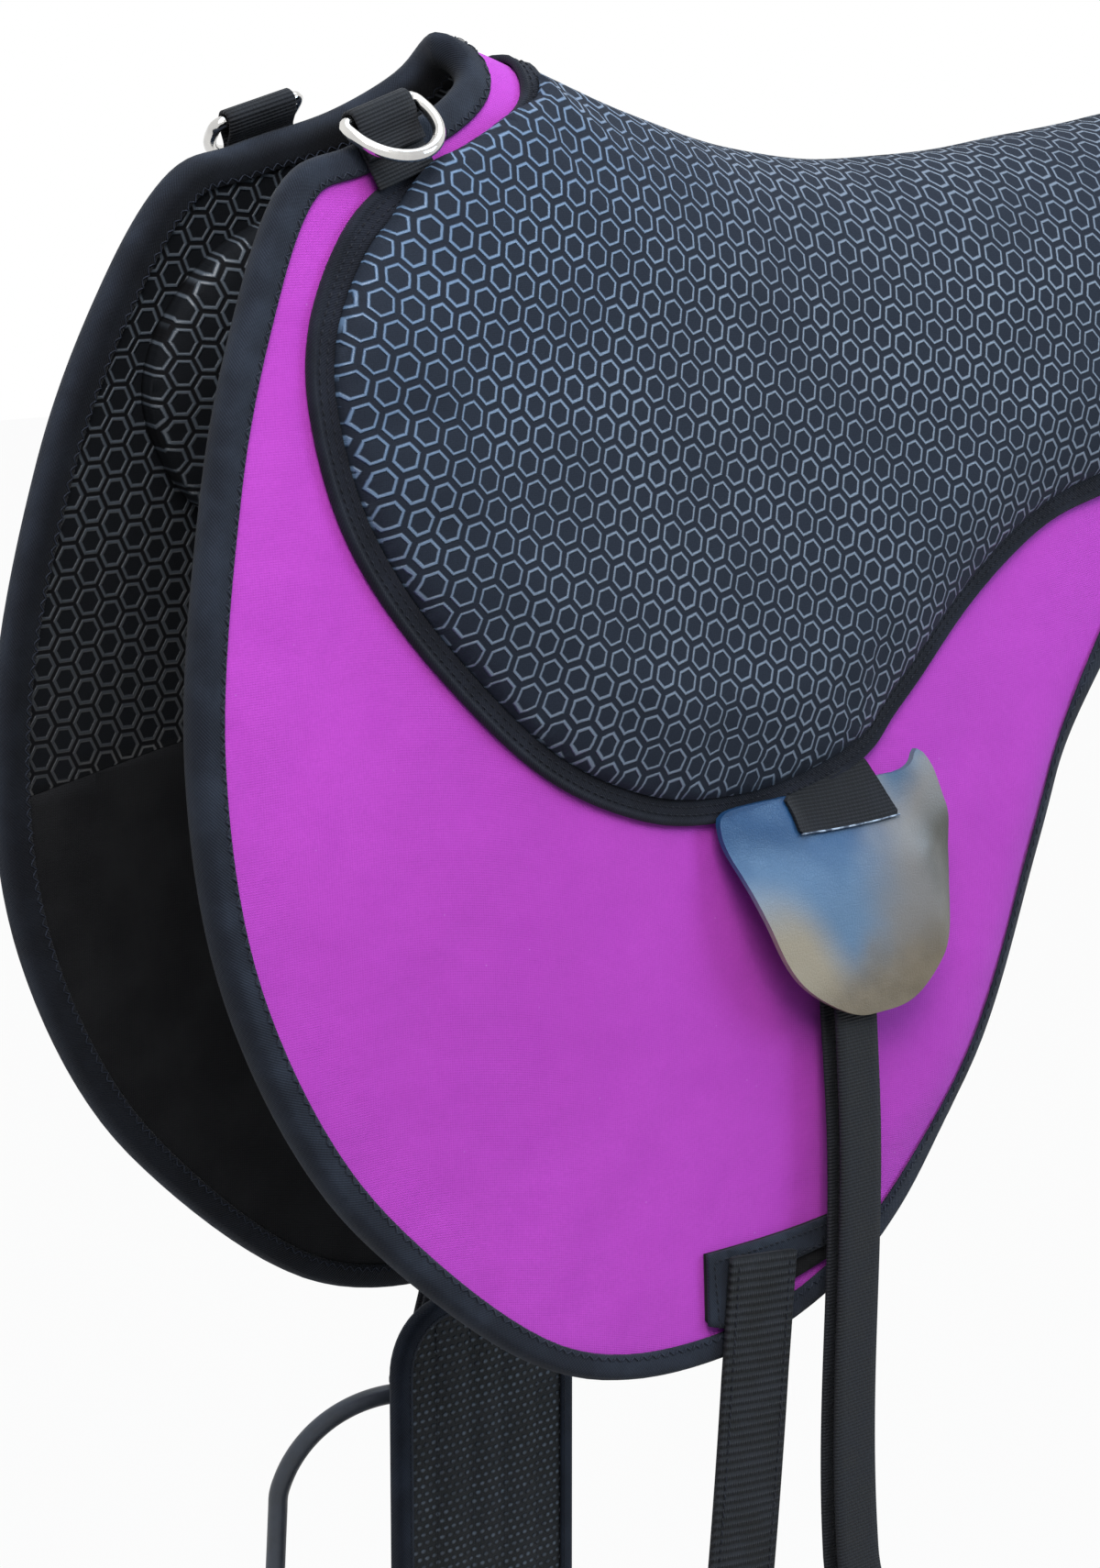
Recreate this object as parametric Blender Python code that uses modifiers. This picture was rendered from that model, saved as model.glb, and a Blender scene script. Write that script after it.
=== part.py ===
"""Bareback pad: a padded sheet over the horse's back, with its seat, girth, straps and stirrups.

Metres, +Z up. X runs from the front of the pad to its rear, and the near (left) side is at -Y.
The origin is on the underside of the spine, half way along the pad. Sewn pieces are cut as flat
patterns, where x runs along the spine, y across it (near side negative) and z is the height off
the cover, and are then laid over one form. Hanging pieces are made for the near side and
mirrored for the off side.
"""

from math import cos, exp, floor, pi, radians, sin

import bmesh
import bpy
from mathutils import Matrix, Vector

# Overall sizes of the pad
PAD_LENGTH = 0.624
FLAP_DROP = 0.532
GAP = 0.0003

# The form that the pad lies on: section across the spine, then line of the spine
CROWN_TURN = radians(72)
CROWN_REACH = 0.020
SIDE_TURN = radians(17)
SIDE_REACH = 0.200
SPREAD_SHARE = 0.16
DIP_X = 0.069
POMMEL_START_X = -0.246
POMMEL_RISE = 0.065
CANTLE_END_X = 0.414
CANTLE_RISE = 0.030
FORM_STEP = 0.060
SECTION_STEP = 0.001
ACROSS_SHARES = (0.0, 0.019, 0.038, 0.062, 0.1, 0.155, 0.25, 0.37, 0.53, 0.72, 0.90, 1.1)

# Layers of the pad
COVER_THICKNESS = 0.0020
CORE_THICKNESS = 0.0050
LINING_THICKNESS = 0.0020
STACK = COVER_THICKNESS + CORE_THICKNESS + LINING_THICKNESS + 2 * GAP
CORE_INSET = 0.0012
LINING_SEAM_DROP = 0.262
LINING_SEAM_SLOPE = radians(10)

# Pad outline, near half: share of the length from the front, share of the flap's drop
FLAP_SHARES = (
    (0.266, 0.0), (0.266, 0.047), (0.221, 0.096), (0.155, 0.132), (0.109, 0.154),
    (0.069, 0.226), (0.027, 0.355), (0.0, 0.541), (0.022, 0.718), (0.106, 0.885),
    (0.248, 0.998), (0.399, 0.976), (0.553, 0.874), (0.659, 0.754), (0.731, 0.596),
    (0.787, 0.474), (0.867, 0.382), (0.955, 0.338), (0.997, 0.263), (1.0, 0.113), (1.0, 0.0),
)
OUTLINE_STEPS = 2

# Edge binding of the pad
BINDING_WIDTH = 0.010
BINDING_TAPE = 0.0012

# Seat: its outline, its band and its two cushions
SEAT_SETBACK = 0.060
SEAT_REAR = 0.012
SEAT_LENGTH = PAD_LENGTH - SEAT_SETBACK - SEAT_REAR
SEAT_DROP = 0.306
SEAT_SHARES = (
    (0.254, 0.0), (0.231, 0.105), (0.156, 0.209), (0.096, 0.258), (0.045, 0.330),
    (0.007, 0.441), (0.0, 0.556), (0.022, 0.703), (0.080, 0.843), (0.174, 0.967),
    (0.274, 1.0), (0.373, 0.964), (0.464, 0.899), (0.513, 0.850), (0.540, 0.804),
    (0.569, 0.761), (0.627, 0.676), (0.685, 0.614), (0.743, 0.575), (0.817, 0.559),
    (0.917, 0.536), (0.975, 0.464), (0.998, 0.294), (1.0, 0.0),
)
SEAT_STEPS = 2
SEAT_BAND_WIDTH = 0.010
SEAT_BAND_HEIGHT = 0.0038
SEAT_EDGE_HEIGHT = 0.0046
SEAT_CROWN = 0.017
SEAT_ROLL = 0.034
SEAT_VALLEY_HEIGHT = 0.009
SEAT_VALLEY_ROLL = 0.020
SEAT_RINGS = (0.009, 0.026)
SEAT_SKIN = 0.0015

# Panels under the pad, one each side of the spine channel
PANEL_FRONT = 0.058
PANEL_REAR = 0.020
PANEL_LENGTH = PAD_LENGTH - PANEL_FRONT - PANEL_REAR
PANEL_DROP = 0.225
PANEL_SHARES = (
    (0.216, 0.276), (0.120, 0.383), (0.042, 0.498), (0.0, 0.649), (0.004, 0.791),
    (0.060, 0.942), (0.180, 1.0), (0.418, 0.956), (0.674, 0.800), (0.894, 0.711),
    (0.976, 0.622), (1.0, 0.444), (0.976, 0.293), (0.894, 0.244), (0.560, 0.231),
)
PANEL_STEPS = 2
PANEL_EDGE = 0.003
PANEL_CROWN = 0.013
PANEL_ROLL = 0.026
PANEL_RINGS = (0.007, 0.020)

# Webbing sizes
WEBBING_THICKNESS = 0.0016
BILLET_WIDTH = 0.038
BILLET_THICKNESS = 0.0020

# Front dee rings on their raised tabs
DEE_WIRE_RADIUS = 0.0025
DEE_TAB_WIDTH = 0.031
DEE_TAB_SETBACK = 0.115
DEE_TAB_X = DEE_TAB_SETBACK - PAD_LENGTH / 2
DEE_TAB_DROP = 0.078
DEE_TAB_LENGTH = 0.024
DEE_TAB_LIFT = 0.0026
DEE_TAB_LEAN = radians(-6)
DEE_TAB_TILT = radians(17)
DEE_TAB_TAIL = 0.018
DEE_BOW = 0.022
DEE_HANG = radians(20)

# Leather tab over the stirrup fixing
TAB_X = -0.012
TAB_DROP_SHARE = 0.9297
TAB_DROP = SEAT_DROP * TAB_DROP_SHARE
TAB_HALF_WIDTH = 0.059
TAB_HEIGHT = 0.090
TAB_STRAIGHT = 0.036
TAB_TURN = radians(12)
TAB_SKEW = radians(9)
TAB_THICKNESS = 0.0025
TAB_SEAT = 0.0045
TAB_BULGE = 0.0150
TAB_BULGE_REACH = 0.045
NEAR_TAB_FLARE = 0.0010
OFF_TAB_FLARE = 0.0115
TAB_CUT_STEP = 0.0195
TAB_CUT_WIDE_SHARE = 1.5
HANGER_WIDTH = 0.050
HANGER_LENGTH = 0.026

# Stirrup fixing under the leather tab
LOOP_X = -0.004
LOOP_SETDOWN = 0.0010
LOOP_START_DROP = TAB_DROP + LOOP_SETDOWN
LOOP_LENGTH = 0.0235
LOOP_WIDTH = 0.038
LOOP_BAR_HEIGHT = 0.0086
RING_RADIUS = 0.022

# Stirrup straps, near and off
STRAP_WIDTH = 0.022
STRAP_THICKNESS = 0.0025
STRAP_PLY_OFFSET = 0.0042
STRAP_STEP_SHARES = (0.0, 0.15, 0.3, 0.45, 0.6, 0.75, 0.9, 1.0)
NEAR_STRAP_LENGTH = 0.314
OFF_STRAP_LENGTH = 0.247
NEAR_STRAP_OUT = radians(5.0)
OFF_STRAP_OUT = radians(10.0)
NEAR_STRAP_FORWARD = radians(0)
OFF_STRAP_FORWARD = radians(8.3)
NEAR_STRAP_TWIST = radians(0)
OFF_STRAP_TWIST = radians(-28)
TWIST_START_SHARE = 0.3
KEEPER_WIDTH = 0.010
KEEPER_THICKNESS = 0.0016
KEEPER_DROP = 0.030

# Stirrups
STIRRUP_ROD_RADIUS = 0.0045
STIRRUP_HALF_WIDTH = 0.057
STIRRUP_HEIGHT = 0.128
EYE_WIRE_RADIUS = 0.0026
EYE_HALF_WIDTH = 0.0155
EYE_HEIGHT = 0.0135
TREAD_LENGTH = 0.098
TREAD_WIDTH = 0.036
TREAD_HEIGHT = 0.010
TREAD_BEVEL = 0.003
PAD_INSET = 0.004
RUBBER_HEIGHT = 0.004

# Girth patches and billets
PATCH_CORNER_X = -0.076
PATCH_CORNER_DROP = 0.478
PATCH_WIDTH = 0.074
PATCH_RISE = 0.022
PATCH_FRONT_HEIGHT = 0.030
PATCH_REAR_HEIGHT = 0.018
PATCH_THICKNESS = 0.0012
PATCH_TAPE_WIDTH = 0.011
PATCH_TAPE_THICKNESS = 0.0012
BILLET_X = -0.046
BILLET_TOP_DROP = 0.474
BILLET_HEIGHT = 0.0048
NEAR_BILLET_LENGTH = 0.168
NEAR_BILLET_LEAN = radians(7)
NEAR_BILLET_OUT = radians(2.2)
BILLET_POINT = 0.012

# Girth, hanging from the off buckle
GIRTH_WIDTH = 0.105
GIRTH_LENGTH = 0.500
GIRTH_OFFSET = 0.0865
GIRTH_TOP_Z = -0.4905
GIRTH_THICKNESS = 0.0080
GIRTH_CORNER = 0.030
GIRTH_CORNER_STEPS = 3
GIRTH_EDGE_SHARE = 0.6
GIRTH_CUTS = 6
GIRTH_BINDING_WIDTH = 0.008
GIRTH_BINDING_TAPE = 0.0010
BUCKLE_WIRE_RADIUS = 0.0025
BUCKLE_HALF_WIDTH = 0.0255
BUCKLE_LENGTH = 0.028
BUCKLE_CORNER = 0.005
BUCKLE_STANDOFF = 0.004
TONGUE_RADIUS = 0.0014
FOLD_LENGTH = 0.034
TONGUE_SLOT = 0.0042

# Colours, roughness and metallic value of each material
MATERIALS = {
    "purple_softshell": ((0.445, 0.045, 0.52, 1), 0.75, 0.0),
    "felt": ((0.22, 0.22, 0.22, 1), 0.95, 0.0),
    "foam": ((0.30, 0.30, 0.32, 1), 0.9, 0.0),
    "grip_fabric": ((0.026, 0.029, 0.042, 1), 0.6, 0.0),
    "black_tape": ((0.012, 0.013, 0.018, 1), 0.8, 0.0),
    "black_fabric": ((0.010, 0.010, 0.012, 1), 0.85, 0.0),
    "black_webbing": ((0.014, 0.014, 0.017, 1), 0.8, 0.0),
    "black_leather": ((0.011, 0.011, 0.014, 1), 0.4, 0.0),
    "air_mesh": ((0.020, 0.020, 0.024, 1), 0.85, 0.0),
    "nickel": ((0.62, 0.60, 0.56, 1), 0.18, 1.0),
    "dark_steel": ((0.09, 0.09, 0.10, 1), 0.35, 1.0),
    "rubber": ((0.012, 0.012, 0.012, 1), 0.8, 0.0),
}

NEAR = -1
OFF = 1


def clear_scene():
    for thing in list(bpy.data.objects):
        bpy.data.objects.remove(thing, do_unlink=True)


def make_collection(name):
    group = bpy.data.collections.new(name)
    bpy.context.scene.collection.children.link(group)
    return group


def material(name, kind):
    colour, roughness, metallic = MATERIALS[kind]
    made = bpy.data.materials.new(name)
    made.use_nodes = True
    shader = made.node_tree.nodes["Principled BSDF"]
    shader.inputs["Base Color"].default_value = colour
    shader.inputs["Roughness"].default_value = roughness
    shader.inputs["Metallic"].default_value = metallic
    made.diffuse_color = colour
    return made


# The form


def section_angle(distance):
    crown = CROWN_TURN * (1 - exp(-distance / CROWN_REACH))
    return crown + SIDE_TURN * (1 - exp(-distance / SIDE_REACH))


def section_points(distances):
    """Half width and fall of the section at each distance from the spine."""
    found = []
    half_width, fall, walked = 0.0, 0.0, 0.0
    for distance in distances:
        while walked < distance - SECTION_STEP / 2:
            angle = section_angle(walked + SECTION_STEP / 2)
            half_width += cos(angle) * SECTION_STEP
            fall += sin(angle) * SECTION_STEP
            walked += SECTION_STEP
        found.append((half_width, fall))
    return found


def ease(share):
    """0 to 1 along half a cosine wave."""
    return (1 - cos(pi * min(max(share, 0.0), 1.0))) / 2


def spine_height(x):
    pommel = POMMEL_RISE * ease((DIP_X - x) / (DIP_X - POMMEL_START_X))
    return pommel + CANTLE_RISE * ease((x - DIP_X) / (CANTLE_END_X - DIP_X))


def lattice_lines():
    half = PAD_LENGTH / 2 + FORM_STEP / 2
    count = floor(2 * half / FORM_STEP) + 1
    along = [-half + FORM_STEP * step for step in range(count + 1)]
    across = [share * FLAP_DROP for share in ACROSS_SHARES]
    return along, across


class Form:
    """The surface of the cover as flat cells, which every sewn piece shares."""

    def __init__(self):
        self.along, self.across = lattice_lines()
        self.section = section_points(self.across)
        self.rest = STACK - spine_height(0.0)

    def spread(self, x):
        return 1 + SPREAD_SHARE * x / PAD_LENGTH

    def knot(self, i, j):
        half_width, fall = self.section[j]
        x = self.along[i]
        angle = section_angle(self.across[j])
        place = Vector((x, half_width * self.spread(x), spine_height(x) + self.rest - fall))
        return place, Vector((0.0, sin(angle), cos(angle)))

    def point(self, x, y, height):
        """World point of a flat pattern point."""
        distance = abs(y)
        i = max(k for k in range(len(self.along) - 1) if k == 0 or self.along[k] <= x)
        j = max(k for k in range(len(self.across) - 1) if self.across[k] <= distance)
        u = (x - self.along[i]) / (self.along[i + 1] - self.along[i])
        v = (distance - self.across[j]) / (self.across[j + 1] - self.across[j])
        total = Vector((0.0, 0.0, 0.0))
        for di, wide in ((0, 1 - u), (1, u)):
            for dj, deep in ((0, 1 - v), (1, v)):
                place, normal = self.knot(i + di, j + dj)
                total += (place + normal * height) * (wide * deep)
        if y < 0:
            total.y = -total.y
        return total

    def cut(self, mesh):
        """Cut a flat pattern along the cells' edges."""
        for x in self.along:
            slice_mesh(mesh, (x, 0, 0), (1, 0, 0))
        for y in self.across:
            slice_mesh(mesh, (0, y, 0), (0, 1, 0))
            if y > 0:
                slice_mesh(mesh, (0, -y, 0), (0, 1, 0))

    def lay(self, mesh):
        for vertex in mesh.verts:
            vertex.co = self.point(vertex.co.x, vertex.co.y, vertex.co.z)


# Outlines and meshes


def slice_mesh(mesh, place, normal, clear=False):
    everything = mesh.verts[:] + mesh.edges[:] + mesh.faces[:]
    bmesh.ops.bisect_plane(
        mesh, geom=everything, dist=GAP / 30, plane_co=place, plane_no=normal, clear_outer=clear)


def smooth_line(points, steps, closed=False):
    """Points of a curve that passes through the given points."""
    count = len(points)
    line = []
    last = count if closed else count - 1
    for index in range(last):
        if closed:
            near = [points[(index + k - 1) % count] for k in range(4)]
        else:
            near = [points[min(max(index + k - 1, 0), count - 1)] for k in range(4)]
        before, start, end, after = [Vector(point) for point in near]
        for step in range(steps):
            t = step / steps
            bend = (2 * start + (end - before) * t + (2 * before - 5 * start + 4 * end - after) * t ** 2
                    + (3 * start - before - 3 * end + after) * t ** 3)
            line.append(bend / 2)
    if not closed:
        line.append(Vector(points[-1]))
    return line


def side_outline(shares, front, length, drop, steps, closed=False):
    """Flat outline of the near side from a table of shares."""
    points = [(front + along * length, -down * drop) for along, down in shares]
    return smooth_line(points, steps, closed)


def whole_outline(near_half):
    """The near half from front to rear, then the off half back to the front."""
    off_half = [Vector((point.x, -point.y)) for point in reversed(near_half[1:-1])]
    return near_half + off_half


def inward(points, index):
    """Inward direction of a closed outline at one point, its length made up at corners."""
    here = points[index]
    before = (here - points[index - 1]).normalized()
    after = (points[(index + 1) % len(points)] - here).normalized()
    first = Vector((-before.y, before.x))
    second = Vector((-after.y, after.x))
    return (first + second) / (1 + first.dot(second))


def inset(points, width):
    return [point + inward(points, k) * width for k, point in enumerate(points)]


def edge_distance(place, outline):
    least = PAD_LENGTH
    for k, start in enumerate(outline):
        run = outline[(k + 1) % len(outline)] - start
        share = min(max((place - start).dot(run) / run.dot(run), 0.0), 1.0)
        least = min(least, (place - start - run * share).length)
    return least


def flat_face(outline, rings=()):
    """A flat pattern: rings of faces inside the outline, and one face inside them."""
    mesh = bmesh.new()
    centre = sum(outline, Vector((0, 0))) / len(outline)
    loop = [mesh.verts.new((point.x, point.y, 0)) for point in outline]
    for ring in rings:
        inner = []
        for point in outline:
            towards = (centre - point).normalized()
            inner.append(mesh.verts.new((point.x + towards.x * ring, point.y + towards.y * ring, 0)))
        for k in range(len(loop)):
            after = (k + 1) % len(loop)
            mesh.faces.new((loop[k], loop[after], inner[after], inner[k]))
        loop = inner
    mesh.faces.new(loop)
    return mesh


def thicken(mesh, low, high):
    """Make a flat pattern solid between two heights, each a function of the place."""
    bottom = list(mesh.faces)
    grown = bmesh.ops.extrude_face_region(mesh, geom=bottom, use_keep_orig=True)
    top = {item for item in grown["geom"] if isinstance(item, bmesh.types.BMVert)}
    for vertex in mesh.verts:
        place = Vector((vertex.co.x, vertex.co.y))
        vertex.co.z = high(place) if vertex in top else low(place)
    bmesh.ops.recalc_face_normals(mesh, faces=mesh.faces[:])


def level(height):
    return lambda place: height


class Builder:
    """Names, colours and places each piece."""

    def __init__(self):
        self.parts = make_collection("bareback_pad")
        self.cutters = make_collection("cutters")
        self.cutters.hide_render = True
        self.form = Form()
        self.joints = {}

    def joint(self, name, place):
        empty = bpy.data.objects.new(name, None)
        empty.empty_display_size = BILLET_WIDTH
        empty.location = place
        self.parts.objects.link(empty)
        self.joints[name] = empty
        return empty

    def keep(self, mesh, name, kind, side=NEAR, on=None, smooth_angle=radians(40)):
        """Turn a near-side mesh into a named piece, mirrored when it is for the off side."""
        if side == OFF:
            for vertex in mesh.verts:
                vertex.co.y = -vertex.co.y
            bmesh.ops.reverse_faces(mesh, faces=mesh.faces[:])
        data = bpy.data.meshes.new(name)
        mesh.to_mesh(data)
        mesh.free()
        data.shade_smooth()
        data.set_sharp_from_angle(angle=smooth_angle)
        data.materials.append(material(name + "_finish", kind))
        piece = bpy.data.objects.new(name, data)
        self.parts.objects.link(piece)
        if on:
            empty = self.joints[on]
            data.transform(Matrix.Translation(-empty.location))
            piece.parent = empty
        return piece

    def sheet(self, outline, low, high, rings=(), trims=(), cuts=()):
        """A sewn layer: flat pattern, cut along the form's cells, thickened and laid."""
        mesh = flat_face(outline, rings)
        for place, normal in trims:
            slice_mesh(mesh, place, normal, clear=True)
        for place, normal in cuts:
            slice_mesh(mesh, place, normal)
        self.form.cut(mesh)
        bmesh.ops.triangulate(mesh, faces=mesh.faces[:])
        thicken(mesh, low, high)
        self.form.lay(mesh)
        return mesh

    def swept(self, profile, outline):
        """A closed tape: a profile of (inset, height) points swept round a flat outline."""
        mesh = bmesh.new()
        loops = []
        for k, point in enumerate(outline):
            normal = inward(outline, k)
            loops.append([mesh.verts.new((*(point + normal * depth), height)) for depth, height in profile])
        for k, loop in enumerate(loops):
            following = loops[(k + 1) % len(loops)]
            for m in range(len(profile)):
                after = (m + 1) % len(profile)
                mesh.faces.new((loop[m], following[m], following[after], loop[after]))
        bmesh.ops.recalc_face_normals(mesh, faces=mesh.faces[:])
        return mesh


def frame_matrix(place, first, second, third):
    made = Matrix.Identity(4)
    for column, axis in enumerate((first, second, third, place)):
        for row in range(3):
            made[row][column] = axis[row]
    return made


def curve_mesh(curve, frame, modify=None):
    """A curve's surface as a welded mesh in world space."""
    holder = bpy.data.objects.new("curve_holder", curve)
    bpy.context.scene.collection.objects.link(holder)
    if modify:
        modify(holder)
    bpy.context.view_layer.update()
    evaluated = holder.evaluated_get(bpy.context.evaluated_depsgraph_get())
    data = bpy.data.meshes.new_from_object(evaluated)
    mesh = bmesh.new()
    mesh.from_mesh(data)
    bmesh.ops.remove_doubles(mesh, verts=mesh.verts[:], dist=GAP / 10)
    bmesh.ops.transform(mesh, matrix=frame, verts=mesh.verts[:])
    bmesh.ops.recalc_face_normals(mesh, faces=mesh.faces[:])
    bpy.data.objects.remove(holder, do_unlink=True)
    bpy.data.meshes.remove(data)
    return mesh


def poly_curve(points, closed, dimensions):
    curve = bpy.data.curves.new("line", "CURVE")
    curve.dimensions = dimensions
    spline = curve.splines.new("POLY")
    spline.points.add(len(points) - 1)
    for slot, point in zip(spline.points, points):
        depth = point[2] if len(point) > 2 else 0.0
        slot.co = (point[0], point[1], depth, 1)
    spline.use_cyclic_u = closed
    return curve


def ribbon(points, width, thickness, frame, closed=False):
    """A flat strap: its edge view is drawn in the frame's first two axes."""
    curve = poly_curve(points, closed, "2D")
    curve.fill_mode = "NONE"
    curve.extrude = width / 2

    def solid(holder):
        shell = holder.modifiers.new("thickness", "SOLIDIFY")
        shell.thickness = thickness
        shell.offset = 0
        shell.use_even_offset = True

    return curve_mesh(curve, frame, solid)


def wire(points, radius, frame, closed=True, resolution=2):
    curve = poly_curve(points, closed, "3D")
    curve.bevel_depth = radius
    curve.bevel_resolution = resolution
    curve.use_fill_caps = not closed
    return curve_mesh(curve, frame)


def arc(centre, radius, start, end, steps):
    """Points round a centre, angles from the first axis towards the second."""
    points = []
    for k in range(steps + 1):
        angle = start + (end - start) * k / steps
        points.append((centre[0] + radius * cos(angle), centre[1] + radius * sin(angle)))
    return points


def rounded_box(half_wide, low, high, corner, steps):
    """A rectangle from low to high on the second axis, with round corners."""
    points = []
    right, left = half_wide - corner, corner - half_wide
    points += arc((right, high - corner), corner, 0, pi / 2, steps)
    points += arc((left, high - corner), corner, pi / 2, pi, steps)
    points += arc((left, low + corner), corner, pi, 1.5 * pi, steps)
    points += arc((right, low + corner), corner, 1.5 * pi, 2 * pi, steps)
    return points


def joined(builder, first, others, operation="UNION"):
    """Boolean of closed meshes with the exact solver."""
    data = bpy.data.meshes.new("base")
    first.to_mesh(data)
    base = bpy.data.objects.new("base", data)
    bpy.context.scene.collection.objects.link(base)
    tools = []
    for mesh in others:
        tool_data = bpy.data.meshes.new("tool")
        mesh.to_mesh(tool_data)
        tool = bpy.data.objects.new("tool", tool_data)
        tool.hide_render = True
        tool.display_type = "WIRE"
        builder.cutters.objects.link(tool)
        cut = base.modifiers.new("join", "BOOLEAN")
        cut.operation = operation
        cut.solver = "EXACT"
        cut.object = tool
        tools.append(tool)
    bpy.context.view_layer.update()
    evaluated = base.evaluated_get(bpy.context.evaluated_depsgraph_get())
    result = bmesh.new()
    result.from_mesh(evaluated.to_mesh())
    evaluated.to_mesh_clear()
    for thing in [base] + tools:
        bpy.data.objects.remove(thing, do_unlink=True)
    return result


# Pieces of the pad


def pad_outline():
    return side_outline(FLAP_SHARES, -PAD_LENGTH / 2, PAD_LENGTH, FLAP_DROP, OUTLINE_STEPS)


def build_layers(builder):
    whole = whole_outline(pad_outline())
    cover = builder.sheet(whole, level(-COVER_THICKNESS), level(0))
    builder.keep(cover, "outer_cover", "purple_softshell")
    core_top = -COVER_THICKNESS - GAP
    core = builder.sheet(inset(whole, CORE_INSET), level(core_top - CORE_THICKNESS), level(core_top))
    builder.keep(core, "felt_core", "felt")
    top = core_top - CORE_THICKNESS - GAP
    low = level(top - LINING_THICKNESS)
    seam_normal = Vector((sin(LINING_SEAM_SLOPE), cos(LINING_SEAM_SLOPE), 0))
    seam_mirror = Vector((seam_normal.x, -seam_normal.y, 0))
    upper_trims = (
        ((0, LINING_SEAM_DROP, 0), seam_normal),
        ((0, -LINING_SEAM_DROP, 0), seam_mirror),
    )
    grip = builder.sheet(whole, low, level(top), trims=upper_trims)
    builder.keep(grip, "grip_lining", "grip_fabric")
    for side, label in ((NEAR, "near"), (OFF, "off")):
        trims = (((0, -LINING_SEAM_DROP - GAP, 0), -seam_mirror),)
        lower = builder.sheet(whole, low, level(top), trims=trims)
        builder.keep(lower, label + "_lower_lining", "black_fabric", side)


def build_binding(builder):
    whole = whole_outline(pad_outline())
    out = -GAP
    rim = out - BINDING_TAPE
    upper = GAP
    lower = -STACK - GAP
    profile = (
        (BINDING_WIDTH, upper), (out, upper), (out, lower), (BINDING_WIDTH, lower),
        (BINDING_WIDTH, lower - BINDING_TAPE), (rim, lower - BINDING_TAPE),
        (rim, upper + BINDING_TAPE), (BINDING_WIDTH, upper + BINDING_TAPE),
    )
    mesh = builder.swept(profile, whole)
    builder.form.cut(mesh)
    builder.form.lay(mesh)
    builder.keep(mesh, "edge_binding", "black_tape")


def seat_outline():
    front = SEAT_SETBACK - PAD_LENGTH / 2
    return side_outline(SEAT_SHARES, front, SEAT_LENGTH, SEAT_DROP, SEAT_STEPS)


def seat_half():
    """Outline of one seat cushion, inside the band and clear of the spine."""
    line = inset(whole_outline(seat_outline()), SEAT_BAND_WIDTH + GAP)
    half = [point for point in line if point.y < -GAP / 2]
    front = Vector((line[0].x, -GAP / 2))
    rear_index = len(seat_outline()) - 1
    rear = Vector((line[rear_index].x, -GAP / 2))
    return [front] + half + [rear]


def seat_height(place, outline):
    """Height of the seat cover's outer face: drawn in at the band, lower in the valley."""
    spine = -place.y
    others = edge_distance(place, outline)
    roll = min(others / SEAT_ROLL, 1.0)
    crown = SEAT_EDGE_HEIGHT + (SEAT_CROWN - SEAT_EDGE_HEIGHT) * (1 - (1 - roll) ** 2) ** 0.5
    dip = min(spine / SEAT_VALLEY_ROLL, 1.0)
    valley = SEAT_VALLEY_HEIGHT + (SEAT_CROWN - SEAT_VALLEY_HEIGHT) * (1 - (1 - dip) ** 2) ** 0.5
    return min(crown, valley)


def build_seat(builder):
    ring = whole_outline(seat_outline())
    profile = (
        (SEAT_BAND_WIDTH, GAP), (0, GAP),
        (0, SEAT_BAND_HEIGHT), (SEAT_BAND_WIDTH, SEAT_BAND_HEIGHT),
    )
    band = builder.swept(profile, ring)
    builder.form.cut(band)
    builder.form.lay(band)
    builder.keep(band, "seat_band", "black_tape")
    outline = seat_half()
    open_edge = [point for point in outline if point.y < -GAP]

    def top(place):
        return seat_height(place, open_edge)

    for side, label in ((NEAR, "near"), (OFF, "off")):
        skin = builder.sheet(outline, lambda place: top(place) - SEAT_SKIN, top, rings=SEAT_RINGS)
        builder.keep(skin, label + "_seat_cover", "grip_fabric", side)
        foam = builder.sheet(outline, level(GAP), lambda place: top(place) - SEAT_SKIN - GAP,
                             rings=SEAT_RINGS)
        builder.keep(foam, label + "_seat_foam", "foam", side)


def panel_outline():
    front = PANEL_FRONT - PAD_LENGTH / 2
    return side_outline(PANEL_SHARES, front, PANEL_LENGTH, PANEL_DROP, PANEL_STEPS, closed=True)


def build_panels(builder):
    outline = panel_outline()
    seat = -STACK - GAP

    def low(place):
        roll = min(edge_distance(place, outline) / PANEL_ROLL, 1.0)
        return seat - PANEL_EDGE - (PANEL_CROWN - PANEL_EDGE) * (1 - (1 - roll) ** 2) ** 0.5

    for side, label in ((NEAR, "near"), (OFF, "off")):
        mesh = builder.sheet(outline, low, level(seat), rings=PANEL_RINGS)
        builder.keep(mesh, label + "_panel", "grip_fabric", side)


# Front dee rings


def dee_frame(builder):
    """Place and axes of a dee tab: along its width, up the tab, out from the pad."""
    foot = builder.form.point(DEE_TAB_X, -DEE_TAB_DROP, 0)
    above = builder.form.point(DEE_TAB_X, -DEE_TAB_DROP + BINDING_WIDTH, 0)
    up = (above - foot).normalized()
    width = Vector((1, 0, 0))
    out = width.cross(up).normalized()
    if out.y > 0:
        out = -out
    lean = Matrix.Rotation(DEE_TAB_LEAN, 3, width)
    up = lean @ up
    out = lean @ out
    tilt = Matrix.Rotation(DEE_TAB_TILT, 3, out)
    if (tilt @ width).z < 0:
        tilt = tilt.transposed()
    return foot, tilt @ width, tilt @ up, out


def dee_bar(builder):
    foot, width, up, out = dee_frame(builder)
    stand = GAP + BINDING_TAPE + 2 * GAP + WEBBING_THICKNESS + DEE_TAB_LIFT
    return foot + up * DEE_TAB_LENGTH + out * stand


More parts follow.
